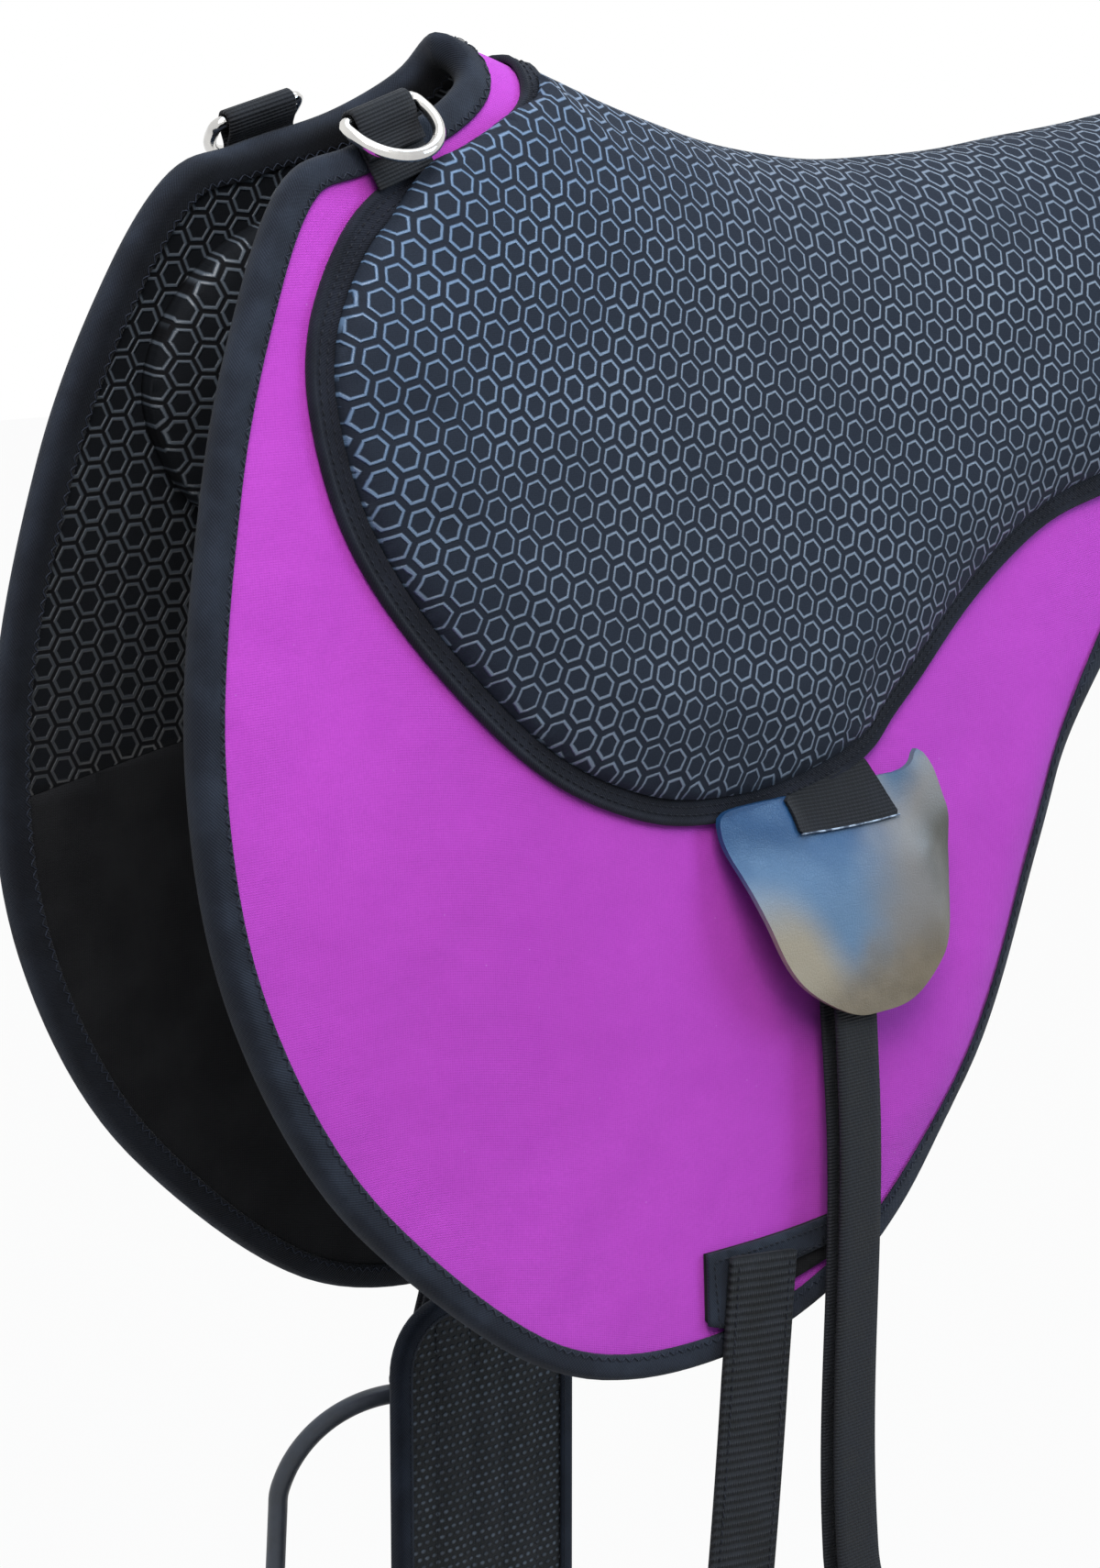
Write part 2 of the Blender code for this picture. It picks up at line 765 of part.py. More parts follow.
def build_dees(builder):
    foot, width, up, out = dee_frame(builder)
    bar = dee_bar(builder)
    turn = DEE_WIRE_RADIUS + GAP + WEBBING_THICKNESS / 2
    closed = WEBBING_THICKNESS / 2 + GAP / 2
    path = [(-DEE_TAB_TAIL * 1.5, -closed), (-DEE_TAB_TAIL / 2, -closed), (-turn, -turn * 0.9)]
    path += arc((0, 0), turn, -pi / 2 + 0.35, pi / 2 - 0.35, 6)
    path += [(-turn, turn * 0.9), (-DEE_TAB_TAIL / 2, closed), (-DEE_TAB_TAIL, closed)]
    bow = [(-DEE_BOW, 0), (DEE_BOW, 0)]
    bow += arc((0, -DEE_BOW * 0.25), DEE_BOW, 0, -pi, 9)
    hang = Matrix.Rotation(DEE_HANG, 3, width)
    if (hang @ -up).dot(out) < 0:
        hang = hang.transposed()
    for side, label in ((NEAR, "near"), (OFF, "off")):
        tab = ribbon(path, DEE_TAB_WIDTH, WEBBING_THICKNESS, frame_matrix(bar, up, out, width))
        builder.keep(tab, label + "_dee_tab", "black_webbing", side)
        place = Vector((bar.x, bar.y * -side, bar.z))
        builder.joint(label + "_dee_swing", place)
        ring = wire(bow, DEE_WIRE_RADIUS, frame_matrix(bar, width, hang @ up, hang @ out))
        builder.keep(ring, label + "_dee_ring", "nickel", side, label + "_dee_swing")


# Leather tab, hanger webbing and stirrup ring


def tab_local(place):
    """Distance along the tab's width and down it, from the middle of its top."""
    offset = place - Vector((TAB_X, -TAB_DROP))
    wide = Vector((cos(TAB_TURN), sin(TAB_TURN)))
    down = Vector((sin(TAB_TURN), -cos(TAB_TURN)))
    return offset.dot(wide), offset.dot(down)


def tab_place(along, down):
    turned_x = cos(TAB_TURN) * along + sin(TAB_TURN) * down
    turned_y = sin(TAB_TURN) * along - cos(TAB_TURN) * down
    return Vector((TAB_X + turned_x, -TAB_DROP + turned_y))


def tab_height(place, side):
    """Height of the tab's inner face: its top corners lie on the cover, and it bulges over the ring."""
    along, down = tab_local(place)
    depth = max(down + sin(TAB_SKEW) * along, 0)
    rise = sin(pi / 2 * min(depth / TAB_BULGE_REACH, 1))
    middle = TAB_CUT_STEP * TAB_CUT_WIDE_SHARE
    side_share = min(max(abs(along) - middle, 0) / (TAB_HALF_WIDTH - middle), 1)
    seat = TAB_SEAT - (TAB_SEAT - GAP) * side_share
    flare = NEAR_TAB_FLARE if side == NEAR else OFF_TAB_FLARE
    return seat + TAB_BULGE * rise + flare * depth / TAB_HEIGHT


def tab_outline():
    slope = sin(TAB_SKEW)
    bottom = TAB_HEIGHT - TAB_STRAIGHT
    points = [(-TAB_HALF_WIDTH, slope * TAB_HALF_WIDTH)]
    for k in range(1, 12):
        angle = pi * k / 12
        points.append((-TAB_HALF_WIDTH * cos(angle), TAB_STRAIGHT + bottom * sin(angle)))
    points.insert(1, (-TAB_HALF_WIDTH, TAB_STRAIGHT))
    points.append((TAB_HALF_WIDTH, TAB_STRAIGHT))
    points.append((TAB_HALF_WIDTH, -slope * TAB_HALF_WIDTH))
    return [tab_place(along, down) for along, down in points]


def strip_outline(half_width, start, length):
    slope = sin(TAB_SKEW)
    corners = ((-half_width, start + slope * half_width), (-half_width, start + length),
               (half_width, start + length), (half_width, start - slope * half_width))
    return [tab_place(along, down) for along, down in corners]


def tab_cuts():
    """Cut lines that let the tab bulge: across it and along it."""
    down = Vector((sin(TAB_TURN), -cos(TAB_TURN), 0))
    wide = Vector((cos(TAB_TURN), sin(TAB_TURN), 0))
    cuts = []
    for k in range(1, 5):
        cuts.append((tab_place(0, TAB_CUT_STEP * k).to_3d(), down))
    for k in (-1, 0, 1):
        cuts.append((tab_place(TAB_CUT_STEP * k * TAB_CUT_WIDE_SHARE, 0).to_3d(), wide))
    return cuts


def near_point(builder, x, drop, height):
    return builder.form.point(x, -drop, height)


def build_tab(builder, side, label):
    joint = label + "_tab_lift"
    hinge = tab_place(0, 0)
    place = builder.form.point(hinge.x, hinge.y, TAB_SEAT + TAB_THICKNESS + GAP + WEBBING_THICKNESS)
    builder.joint(joint, Vector((place.x, place.y * -side, place.z)))

    def inner(at):
        return tab_height(at, side)

    leather = builder.sheet(tab_outline(), inner, lambda at: inner(at) + TAB_THICKNESS,
                            cuts=tab_cuts())
    builder.keep(leather, label + "_leather_tab", "black_leather", side, joint)
    base = TAB_THICKNESS + GAP
    strip = builder.sheet(strip_outline(HANGER_WIDTH / 2, 0, HANGER_LENGTH),
                          lambda at: inner(at) + base,
                          lambda at: inner(at) + base + WEBBING_THICKNESS, cuts=tab_cuts())
    builder.keep(strip, label + "_hanger_webbing", "black_webbing", side, joint)


def loop_frame(builder):
    """Top of the stirrup loop and its axes: down the loop, out, along the pad."""
    top = near_point(builder, LOOP_X, LOOP_START_DROP, 0)
    low = near_point(builder, LOOP_X, LOOP_START_DROP + LOOP_LENGTH, 0)
    down = (low - top).normalized()
    width = Vector((1, 0, 0))
    out = width.cross(-down).normalized()
    if out.y > 0:
        out = -out
    return top, down, out, width


def loop_bar(builder):
    top, down, out, width = loop_frame(builder)
    return top + down * LOOP_LENGTH + out * LOOP_BAR_HEIGHT


def build_loop(builder, side, label):
    top, down, out, width = loop_frame(builder)
    turn = DEE_WIRE_RADIUS + GAP + WEBBING_THICKNESS / 2
    flat = GAP + WEBBING_THICKNESS / 2
    double = flat + WEBBING_THICKNESS + GAP
    length, height = LOOP_LENGTH, LOOP_BAR_HEIGHT
    path = [(0, flat), (length * 0.35, flat), (length - turn, height - turn * 0.95)]
    path += arc((length, height), turn, -pi / 2 + 0.3, pi / 2 - 0.3, 6)
    path += [(length - turn, height + turn * 0.95), (length * 0.35, double), (0, double)]
    loop = ribbon(path, LOOP_WIDTH, WEBBING_THICKNESS, frame_matrix(top, down, out, width))
    builder.keep(loop, label + "_stirrup_loop", "black_webbing", side)


def strap_axes(side):
    """Axes of a stirrup strap on the near side: down it, out from it, along its width."""
    out_angle = NEAR_STRAP_OUT if side == NEAR else OFF_STRAP_OUT
    forward = NEAR_STRAP_FORWARD if side == NEAR else OFF_STRAP_FORWARD
    flat_down = Vector((0, -sin(out_angle), -cos(out_angle)))
    out = Vector((0, -cos(out_angle), sin(out_angle)))
    width = Vector((1, 0, 0))
    swing = Matrix.Rotation(forward, 3, out)
    if (swing @ flat_down).x > 0:
        swing = swing.transposed()
    return swing @ flat_down, out, swing @ width, flat_down


def build_ring(builder, side, label):
    bar = loop_bar(builder)
    down, out, width, flat_down = strap_axes(side)
    builder.joint(label + "_ring_swing", Vector((bar.x, bar.y * -side, bar.z)))
    bow = [(-RING_RADIUS, 0), (RING_RADIUS, 0)] + arc((0, 0), RING_RADIUS, 0.25, pi - 0.25, 9)
    across = Vector((1, 0, 0))
    ring = wire(bow, DEE_WIRE_RADIUS, frame_matrix(bar, across, flat_down, out))
    builder.keep(ring, label + "_stirrup_ring", "nickel", side, label + "_ring_swing")


def strap_length(side):
    return NEAR_STRAP_LENGTH if side == NEAR else OFF_STRAP_LENGTH


def strap_twist(side):
    return NEAR_STRAP_TWIST if side == NEAR else OFF_STRAP_TWIST


def strap_top(builder, side):
    """Middle of the strap's top bend, whose edges rest on the ring's bow."""
    down = strap_axes(side)[0]
    edge_depth = (RING_RADIUS ** 2 - (STRAP_WIDTH / 2) ** 2) ** 0.5
    return loop_bar(builder) + down * (edge_depth - 4 * GAP)


def twist_mesh(mesh, builder, side):
    """Turn what hangs below the strap's start about the strap's own line."""
    down, out, width, flat_down = strap_axes(side)
    top = strap_top(builder, side)
    length = strap_length(side)
    for vertex in mesh.verts:
        share = (vertex.co - top).dot(down) / length
        turn = strap_twist(side) * ease((share - TWIST_START_SHARE) / (1 - TWIST_START_SHARE))
        spin = Matrix.Rotation(turn, 3, down)
        vertex.co = top + spin @ (vertex.co - top)


def build_strap(builder, side, label):
    down, out, width, flat_down = strap_axes(side)
    top = strap_top(builder, side)
    length = strap_length(side)
    joint = label + "_strap_swing"
    bar = loop_bar(builder)
    builder.joint(joint, Vector((bar.x, bar.y * -side, bar.z)))
    offset = STRAP_PLY_OFFSET
    path = [(share * length, -offset) for share in STRAP_STEP_SHARES]
    path += arc((length, 0), offset, -pi / 2, pi / 2, 6)[1:-1]
    path += [(share * length, offset) for share in reversed(STRAP_STEP_SHARES)]
    path += arc((0, 0), offset, pi / 2, 1.5 * pi, 6)[1:-1]
    strap = ribbon(path, STRAP_WIDTH, STRAP_THICKNESS, frame_matrix(top, down, out, width), closed=True)
    twist_mesh(strap, builder, side)
    builder.keep(strap, label + "_stirrup_strap", "black_webbing", side, joint)
    half_wide = STRAP_WIDTH / 2 + GAP + KEEPER_THICKNESS / 2
    half_deep = offset + STRAP_THICKNESS / 2 + GAP + KEEPER_THICKNESS / 2
    ring = rounded_box(half_wide, -half_deep, half_deep, KEEPER_THICKNESS * 0.55, 1)
    place = top + down * KEEPER_DROP
    builder.joint(label + "_keeper_slide", Vector((place.x, place.y * -side, place.z)))
    keeper = ribbon(ring, KEEPER_WIDTH, KEEPER_THICKNESS, frame_matrix(place, width, out, down), closed=True)
    builder.keep(keeper, label + "_strap_keeper", "black_webbing", side, label + "_keeper_slide")


def stirrup_frame(builder, side):
    """The eye's bar and the stirrup's axes after the strap's twist."""
    down, out, width, flat_down = strap_axes(side)
    place = strap_top(builder, side) + down * strap_length(side)
    spin = Matrix.Rotation(strap_twist(side), 3, down)
    return place, down, spin @ out, spin @ width


def box_mesh(centre, axes, sizes, bevel):
    mesh = bmesh.new()
    bmesh.ops.create_cube(mesh, size=1.0)
    bmesh.ops.scale(mesh, vec=sizes, verts=mesh.verts[:])
    if bevel:
        bmesh.ops.bevel(mesh, geom=mesh.edges[:], offset=bevel, segments=1, affect="EDGES")
    bmesh.ops.transform(mesh, matrix=frame_matrix(centre, *axes), verts=mesh.verts[:])
    bmesh.ops.recalc_face_normals(mesh, faces=mesh.faces[:])
    return mesh


def build_stirrup(builder, side, label):
    bar, down, out, width = stirrup_frame(builder, side)
    joint = label + "_stirrup_turn"
    builder.joint(joint, Vector((bar.x, bar.y * -side, bar.z)))
    frame = frame_matrix(bar, width, -down, out)
    eye = rounded_box(EYE_HALF_WIDTH, -EYE_HEIGHT, 0, EYE_WIRE_RADIUS * 1.2, 1)
    crest = -EYE_HEIGHT - STIRRUP_ROD_RADIUS * 0.6
    spring_line = crest - STIRRUP_HALF_WIDTH
    foot_line = crest - STIRRUP_HEIGHT
    arch = arc((0, spring_line), STIRRUP_HALF_WIDTH, 0, pi, 14)
    low_half = TREAD_LENGTH / 2 - STIRRUP_ROD_RADIUS
    arch = [(low_half, foot_line)] + arch + [(-low_half, foot_line)]
    rod = wire(arch, STIRRUP_ROD_RADIUS, frame, closed=False)
    eye_ring = wire(eye, EYE_WIRE_RADIUS, frame)
    tread_centre = frame @ Vector((0, foot_line, 0))
    tread = box_mesh(tread_centre, (width, out, down), (TREAD_LENGTH, TREAD_WIDTH, TREAD_HEIGHT), TREAD_BEVEL)
    body = joined(builder, tread, (rod, eye_ring))
    builder.keep(body, label + "_stirrup", "dark_steel", side, joint)
    lift = TREAD_HEIGHT / 2 + GAP + RUBBER_HEIGHT / 2
    pad_length = TREAD_LENGTH - 2 * PAD_INSET - 4 * STIRRUP_ROD_RADIUS
    pad = box_mesh(tread_centre - down * lift, (width, out, down),
                   (pad_length, TREAD_WIDTH - 2 * PAD_INSET, RUBBER_HEIGHT), RUBBER_HEIGHT / 4)
    builder.keep(pad, label + "_tread_pad", "rubber", side, joint)


# Girth patches, billets and girth


def build_patch(builder, side, label):
    start = Vector((PATCH_CORNER_X, -PATCH_CORNER_DROP))
    end = start + Vector((PATCH_WIDTH, PATCH_RISE))
    depth = Vector((0, -PATCH_FRONT_HEIGHT))
    outline = [start, start + depth, end + Vector((0, -PATCH_REAR_HEIGHT)), end]
    low = GAP
    high = low + PATCH_THICKNESS
    patch = builder.sheet(outline, level(low), level(high))
    builder.keep(patch, label + "_girth_patch", "black_fabric", side)
    across = (end - start).normalized()
    inner = Vector((across.y, -across.x)) * PATCH_TAPE_WIDTH
    corner = start + inner + Vector((PATCH_TAPE_WIDTH, 0))
    tape = [start, start + depth, start + depth + Vector((PATCH_TAPE_WIDTH, 0)), corner, end + inner, end]
    low = high + GAP
    strip = builder.sheet(tape, level(low), level(low + PATCH_TAPE_THICKNESS))
    builder.keep(strip, label + "_patch_tape", "black_tape", side)


def billet_root(builder):
    return near_point(builder, BILLET_X, BILLET_TOP_DROP, BILLET_HEIGHT)


def build_near_billet(builder):
    root = billet_root(builder)
    down = Vector((0, -sin(NEAR_BILLET_OUT), -cos(NEAR_BILLET_OUT)))
    out = Vector((0, -cos(NEAR_BILLET_OUT), sin(NEAR_BILLET_OUT)))
    lean = Matrix.Rotation(NEAR_BILLET_LEAN, 3, out)
    if (lean @ down).x > 0:
        lean = lean.transposed()
    down = lean @ down
    width = lean @ Vector((1, 0, 0))
    builder.joint("near_billet_swing", root)
    half = BILLET_WIDTH / 2
    length = NEAR_BILLET_LENGTH
    outline = [(-half, 0), (half, 0), (half, -length + BILLET_POINT), (half - BILLET_POINT, -length),
               (BILLET_POINT - half, -length), (-half, BILLET_POINT - length)]
    curve = poly_curve(outline, True, "2D")
    curve.fill_mode = "BOTH"
    curve.extrude = BILLET_THICKNESS / 2
    strap = curve_mesh(curve, frame_matrix(root, width, -down, out))
    builder.keep(strap, "near_billet", "black_webbing", NEAR, "near_billet_swing")


def girth_frame():
    """Middle of the girth's top edge on the near side's mirror, and its axes."""
    place = Vector((BILLET_X, -GIRTH_OFFSET, GIRTH_TOP_Z))
    return place, Vector((1, 0, 0)), Vector((0, 0, 1)), Vector((0, -1, 0))


def girth_outline():
    half = GIRTH_WIDTH / 2
    points = rounded_box(half, -GIRTH_LENGTH, 0, GIRTH_CORNER, GIRTH_CORNER_STEPS)
    return [Vector(point) for point in points]


def build_girth(builder):
    place, width, up, out = girth_frame()
    frame = frame_matrix(place, width, up, out)
    bar = girth_bar(place, up, out)
    builder.joint("girth_swing", Vector((bar.x, -bar.y, bar.z)))
    outline = girth_outline()
    body_line = inset(outline, GIRTH_BINDING_TAPE + GAP)
    half = GIRTH_THICKNESS / 2
    mesh = flat_face(body_line)
    for k in range(1, GIRTH_CUTS):
        slice_mesh(mesh, (0, -GIRTH_LENGTH * k / GIRTH_CUTS, 0), (0, 1, 0))
    for share in (-0.5, 0.5):
        slice_mesh(mesh, (GIRTH_WIDTH * share * 0.5, 0, 0), (1, 0, 0))

    def swell(at):
        roll = min(edge_distance(at, body_line) / (GIRTH_WIDTH / 4), 1.0)
        return half * (GIRTH_EDGE_SHARE + (1 - GIRTH_EDGE_SHARE) * roll)

    thicken(mesh, lambda at: -swell(at), swell)
    bmesh.ops.transform(mesh, matrix=frame, verts=mesh.verts[:])
    builder.keep(mesh, "girth_pad", "air_mesh", OFF, "girth_swing")
    edge = girth_edge()
    tape = GIRTH_BINDING_TAPE
    wide = GIRTH_BINDING_WIDTH
    profile = ((wide, edge), (tape, edge), (tape, -edge), (wide, -edge),
               (wide, -edge - tape), (0, -edge - tape), (0, edge + tape), (wide, edge + tape))
    binding = builder.swept(profile, outline)
    bmesh.ops.transform(binding, matrix=frame, verts=binding.verts[:])
    builder.keep(binding, "girth_binding", "black_tape", OFF, "girth_swing")
    build_girth_webbing(builder, place, width, up, out)


def girth_edge():
    """Half thickness of the girth's pad under the inner edge of its binding, with the gap."""
    share = GIRTH_BINDING_WIDTH / (GIRTH_WIDTH / 4)
    return GIRTH_THICKNESS / 2 * (GIRTH_EDGE_SHARE + (1 - GIRTH_EDGE_SHARE) * share) + GAP


def fold_radius():
    return BUCKLE_WIRE_RADIUS + GAP + BILLET_THICKNESS / 2


def webbing_run():
    return girth_edge() + GIRTH_BINDING_TAPE + GAP + BILLET_THICKNESS / 2


def girth_bar(place, up, out):
    """Middle of the top buckle's heel bar."""
    return place + up * (BUCKLE_STANDOFF + fold_radius()) + out * (webbing_run() + fold_radius())


def build_girth_webbing(builder, place, width, up, out):
    thickness = BILLET_THICKNESS
    turn = fold_radius()
    run = webbing_run()
    bar = run + turn
    fold = run + thickness + GAP
    top = BUCKLE_STANDOFF + turn
    low = -GIRTH_LENGTH - top
    rise = 4 * turn
    path = [(top - FOLD_LENGTH, fold), (top - rise, fold)] + arc((top, bar), turn, pi / 2 + 0.3, -pi / 2, 7)
    path += arc((low, bar), turn, -pi / 2, -1.5 * pi - 0.3, 7)
    path += [(low + rise, fold), (low + FOLD_LENGTH, fold)]
    strap = ribbon(path, BILLET_WIDTH, thickness, frame_matrix(place, up, out, width))
    slots = []
    for level_z in (top, low):
        centre = place + up * level_z + out * bar
        slots.append(box_mesh(centre, (width, up, out), (TONGUE_SLOT, 3 * turn, 4 * turn), 0))
    strap = joined(builder, strap, slots, "DIFFERENCE")
    builder.keep(strap, "girth_webbing", "black_webbing", OFF, "girth_swing")
    build_buckle(builder, "off", None, place + up * top + out * bar, width, up, out)
    lower = place + up * low + out * bar
    builder.joint("near_buckle_swing", Vector((lower.x, -lower.y, lower.z)))
    build_buckle(builder, "near", "near_buckle_swing", lower, width, -up, out)
    build_off_billet(builder, place + up * top + out * bar, up, out, width)


def build_buckle(builder, label, carrier, centre, width, reach, out):
    bow = rounded_box(BUCKLE_HALF_WIDTH, 0, BUCKLE_LENGTH, BUCKLE_CORNER, 2)
    frame = frame_matrix(centre, width, reach, width.cross(reach))
    ring = wire(bow, BUCKLE_WIRE_RADIUS, frame)
    builder.keep(ring, label + "_girth_buckle", "nickel", OFF, carrier)
    joint = label + "_tongue_swing"
    builder.joint(joint, Vector((centre.x, -centre.y, centre.z)))
    turn = BUCKLE_WIRE_RADIUS + GAP + TONGUE_RADIUS
    path = arc((0, 0), turn, -pi * 1.15, pi * 0.30, 9)
    path.append((BUCKLE_LENGTH * 0.6, turn * 1.05))
    path.append((BUCKLE_LENGTH + BUCKLE_WIRE_RADIUS, turn * 1.05))
    tongue = wire(path, TONGUE_RADIUS, frame_matrix(centre, reach, out, width), closed=False)
    builder.keep(tongue, label + "_buckle_tongue", "nickel", OFF, joint)


def build_off_billet(builder, bar, up, out, width):
    """Off billet: down from the patch, behind the buckle's toe, then out over its heel."""
    root = billet_root(builder)
    thickness = BILLET_THICKNESS
    behind = BUCKLE_WIRE_RADIUS + GAP + thickness / 2
    front = BUCKLE_WIRE_RADIUS + 2 * GAP + 1.5 * thickness + GAP
    start_up = (root - bar).dot(up)
    start_out = (root - bar).dot(out)
    path = [(start_up, start_out), (BUCKLE_LENGTH + BUCKLE_WIRE_RADIUS, -behind - GAP),
            (BUCKLE_LENGTH - BUCKLE_WIRE_RADIUS, -behind - GAP), (BUCKLE_WIRE_RADIUS, front),
            (-BUCKLE_WIRE_RADIUS * 2, front + GAP)]
    strap = ribbon(path, BILLET_WIDTH, thickness, frame_matrix(bar, up, out, width))
    hole = box_mesh(bar + up * BUCKLE_LENGTH * 0.5, (width, up, out),
                    (TONGUE_SLOT, BUCKLE_LENGTH * 0.8, 6 * behind), 0)
    strap = joined(builder, strap, (hole,), "DIFFERENCE")
    builder.keep(strap, "off_billet", "black_webbing", OFF)


def build_part():
    clear_scene()
    builder = Builder()
    build_layers(builder)
    build_binding(builder)
    build_seat(builder)
    build_panels(builder)
    build_dees(builder)
    for side, label in ((NEAR, "near"), (OFF, "off")):
        build_tab(builder, side, label)
        build_loop(builder, side, label)
        build_ring(builder, side, label)
        build_strap(builder, side, label)
        build_stirrup(builder, side, label)
        build_patch(builder, side, label)
    build_near_billet(builder)
    build_girth(builder)
    for thing in builder.parts.objects:
        if thing.type == "MESH":
            thing.data.validate()
    bpy.context.view_layer.update()


build_part()
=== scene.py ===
"""Looks of the bareback pad: camera, soft pieces, materials and studio.

Sewn pieces are drawn as flat patterns, where x runs along the spine, y across it (near side
negative) and the height is off the cover, and are laid over the same form as the solids.
"""

from math import cos, pi, radians, sin

import bmesh
import bpy
import numpy as np
from mathutils import Matrix, Vector


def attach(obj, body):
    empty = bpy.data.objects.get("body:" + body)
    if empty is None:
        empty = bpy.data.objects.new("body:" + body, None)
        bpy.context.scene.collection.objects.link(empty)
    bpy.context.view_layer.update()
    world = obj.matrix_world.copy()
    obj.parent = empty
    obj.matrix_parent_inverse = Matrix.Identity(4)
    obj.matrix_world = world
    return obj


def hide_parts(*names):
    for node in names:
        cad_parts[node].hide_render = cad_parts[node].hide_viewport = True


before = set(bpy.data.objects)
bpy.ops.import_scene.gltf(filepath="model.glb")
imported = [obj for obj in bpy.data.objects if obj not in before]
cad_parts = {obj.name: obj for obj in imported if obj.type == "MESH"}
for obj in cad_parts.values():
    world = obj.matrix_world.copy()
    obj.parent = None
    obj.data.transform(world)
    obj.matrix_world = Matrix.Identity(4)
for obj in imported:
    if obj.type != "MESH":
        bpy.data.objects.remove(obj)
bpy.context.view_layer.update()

scene = bpy.context.scene

SIDES = ((-1, "near"), (1, "off"))

# The form, as in the part's source
LENGTH, DROP, GAP = 0.624, 0.532, 0.0003
CROWN_TURN, CROWN_REACH = radians(72), 0.02
SIDE_TURN, SIDE_REACH = radians(17), 0.2
SPREAD = 0.16
DIP_X, POMMEL_X, POMMEL_RISE, CANTLE_X, CANTLE_RISE = 0.069, -0.246, 0.065, 0.414, 0.03
STACK = 0.0096

STEP, WALK_END = 0.0005, 0.7
walk = np.arange(0, WALK_END, STEP)
turn = CROWN_TURN * (1 - np.exp(-walk / CROWN_REACH)) + SIDE_TURN * (1 - np.exp(-walk / SIDE_REACH))
middle_turn = turn[:-1] + np.diff(turn) / 2
half_widths = np.concatenate(([0], np.cumsum(np.cos(middle_turn) * STEP)))
falls = np.concatenate(([0], np.cumsum(np.sin(middle_turn) * STEP)))


def ease(share):
    return (1 - np.cos(pi * np.clip(share, 0, 1))) / 2


def spine_height(x):
    x = np.asarray(x, float)
    return (POMMEL_RISE * ease((DIP_X - x) / (DIP_X - POMMEL_X))
            + CANTLE_RISE * ease((x - DIP_X) / (CANTLE_X - DIP_X)))


REST = STACK - float(spine_height(0.0))
CURL, CURL_REACH, CURL_FROM, CURL_TO, CURL_FADE = 0.008, 0.03, 0.235, 0.478, 0.055


def curl(x, distance):
    """How far the rear edges of the flaps turn in towards the horse."""
    if not ((x > 0) & (distance > CURL_FROM)).any():
        return 0.0
    share = 1 - np.minimum(edge_distance(x, -distance, REAR_EDGE, closed=False) / CURL_REACH, 1)
    return (CURL * share ** 2 * ease((CURL_TO - distance) / CURL_FADE)
            * ease((distance - CURL_FROM) / CURL_FADE))


def spread(*values):
    return np.broadcast_arrays(*(np.asarray(v, float) for v in values))


def lay(x, y, height):
    """World points of flat pattern points, as arrays."""
    x, y, height = spread(x, y, height)
    distance = np.abs(y)
    height = height - curl(x, distance)
    angle = np.interp(distance, walk, turn)
    across = np.interp(distance, walk, half_widths) * (1 + SPREAD * x / LENGTH)
    fall = np.interp(distance, walk, falls)
    side = np.where(y < 0, -1.0, 1.0)
    return np.stack((x, side * (across + height * np.sin(angle)),
                     spine_height(x) + REST - fall + height * np.cos(angle)), -1)


# Outlines in shares of the sizes that they follow

FLAP = ((0.266, 0.0), (0.266, 0.047), (0.221, 0.096), (0.155, 0.132), (0.109, 0.154),
        (0.069, 0.226), (0.027, 0.355), (0.0, 0.541), (0.022, 0.718), (0.106, 0.885),
        (0.248, 0.998), (0.399, 0.976), (0.553, 0.874), (0.659, 0.754), (0.731, 0.596),
        (0.787, 0.474), (0.867, 0.382), (0.955, 0.338), (0.997, 0.263), (1.0, 0.113), (1.0, 0.0))
SEAT = ((0.254, 0.0), (0.231, 0.105), (0.156, 0.209), (0.096, 0.258), (0.045, 0.33),
        (0.007, 0.441), (0.0, 0.556), (0.022, 0.703), (0.08, 0.843), (0.174, 0.967),
        (0.274, 1.0), (0.373, 0.964), (0.464, 0.899), (0.513, 0.85), (0.54, 0.804),
        (0.569, 0.761), (0.627, 0.676), (0.685, 0.614), (0.743, 0.575), (0.817, 0.559),
        (0.917, 0.536), (0.975, 0.464), (0.998, 0.294), (1.0, 0.0))
PANEL = ((0.216, 0.276), (0.12, 0.383), (0.042, 0.498), (0.0, 0.649), (0.004, 0.791),
         (0.06, 0.942), (0.18, 1.0), (0.418, 0.956), (0.674, 0.8), (0.894, 0.711),
         (0.976, 0.622), (1.0, 0.444), (0.976, 0.293), (0.894, 0.244), (0.56, 0.231))


def smooth_line(points, steps, closed=False):
    """A curve through all the points, with some steps from each to the next."""
    points = np.array(points, float)
    before, beyond = (points[-1:], points[:2]) if closed else (points[:1], points[-1:])
    all_points = np.vstack((before, points, beyond))
    t = (np.arange(steps) / steps)[:, None]
    line = [0.5 * (2 * b + (c - a) * t + (2 * a - 5 * b + 4 * c - d) * t * t + (3 * b - a - 3 * c + d) * t ** 3)
            for a, b, c, d in zip(all_points, all_points[1:], all_points[2:], all_points[3:])]
    return np.vstack(line if closed else line + [points[-1:]])


def lengths(points):
    """Length along a line up to each of its points, and at last back to the first."""
    return np.concatenate(([0], np.cumsum(np.linalg.norm(np.roll(points, -1, 0) - points, axis=1))))


def even_line(points, pitch, closed=False):
    """The same line with its points at about the pitch."""
    points = np.array(points, float)
    along = lengths(points)
    if closed:
        points = np.vstack((points, points[:1]))
    else:
        along = along[:-1]
    count = max(int(round(along[-1] / pitch)), 2)
    at = np.linspace(0, along[-1], count + 1)
    if closed:
        at = at[:-1]
    return np.stack([np.interp(at, along, points[:, k]) for k in range(points.shape[1])], -1)


def outline(shares, front, length, drop, pitch, whole=False, closed=False):
    """An outline in metres, with whole also over the spine and down the off side."""
    line = smooth_line([(front + a * length, -d * drop) for a, d in shares], 10, closed)
    if whole:
        line = np.vstack((line, line[-2:0:-1] * (1, -1)))
    return even_line(line, pitch, closed or whole)


def unit(rows):
    return rows / np.linalg.norm(rows, axis=1)[:, None]


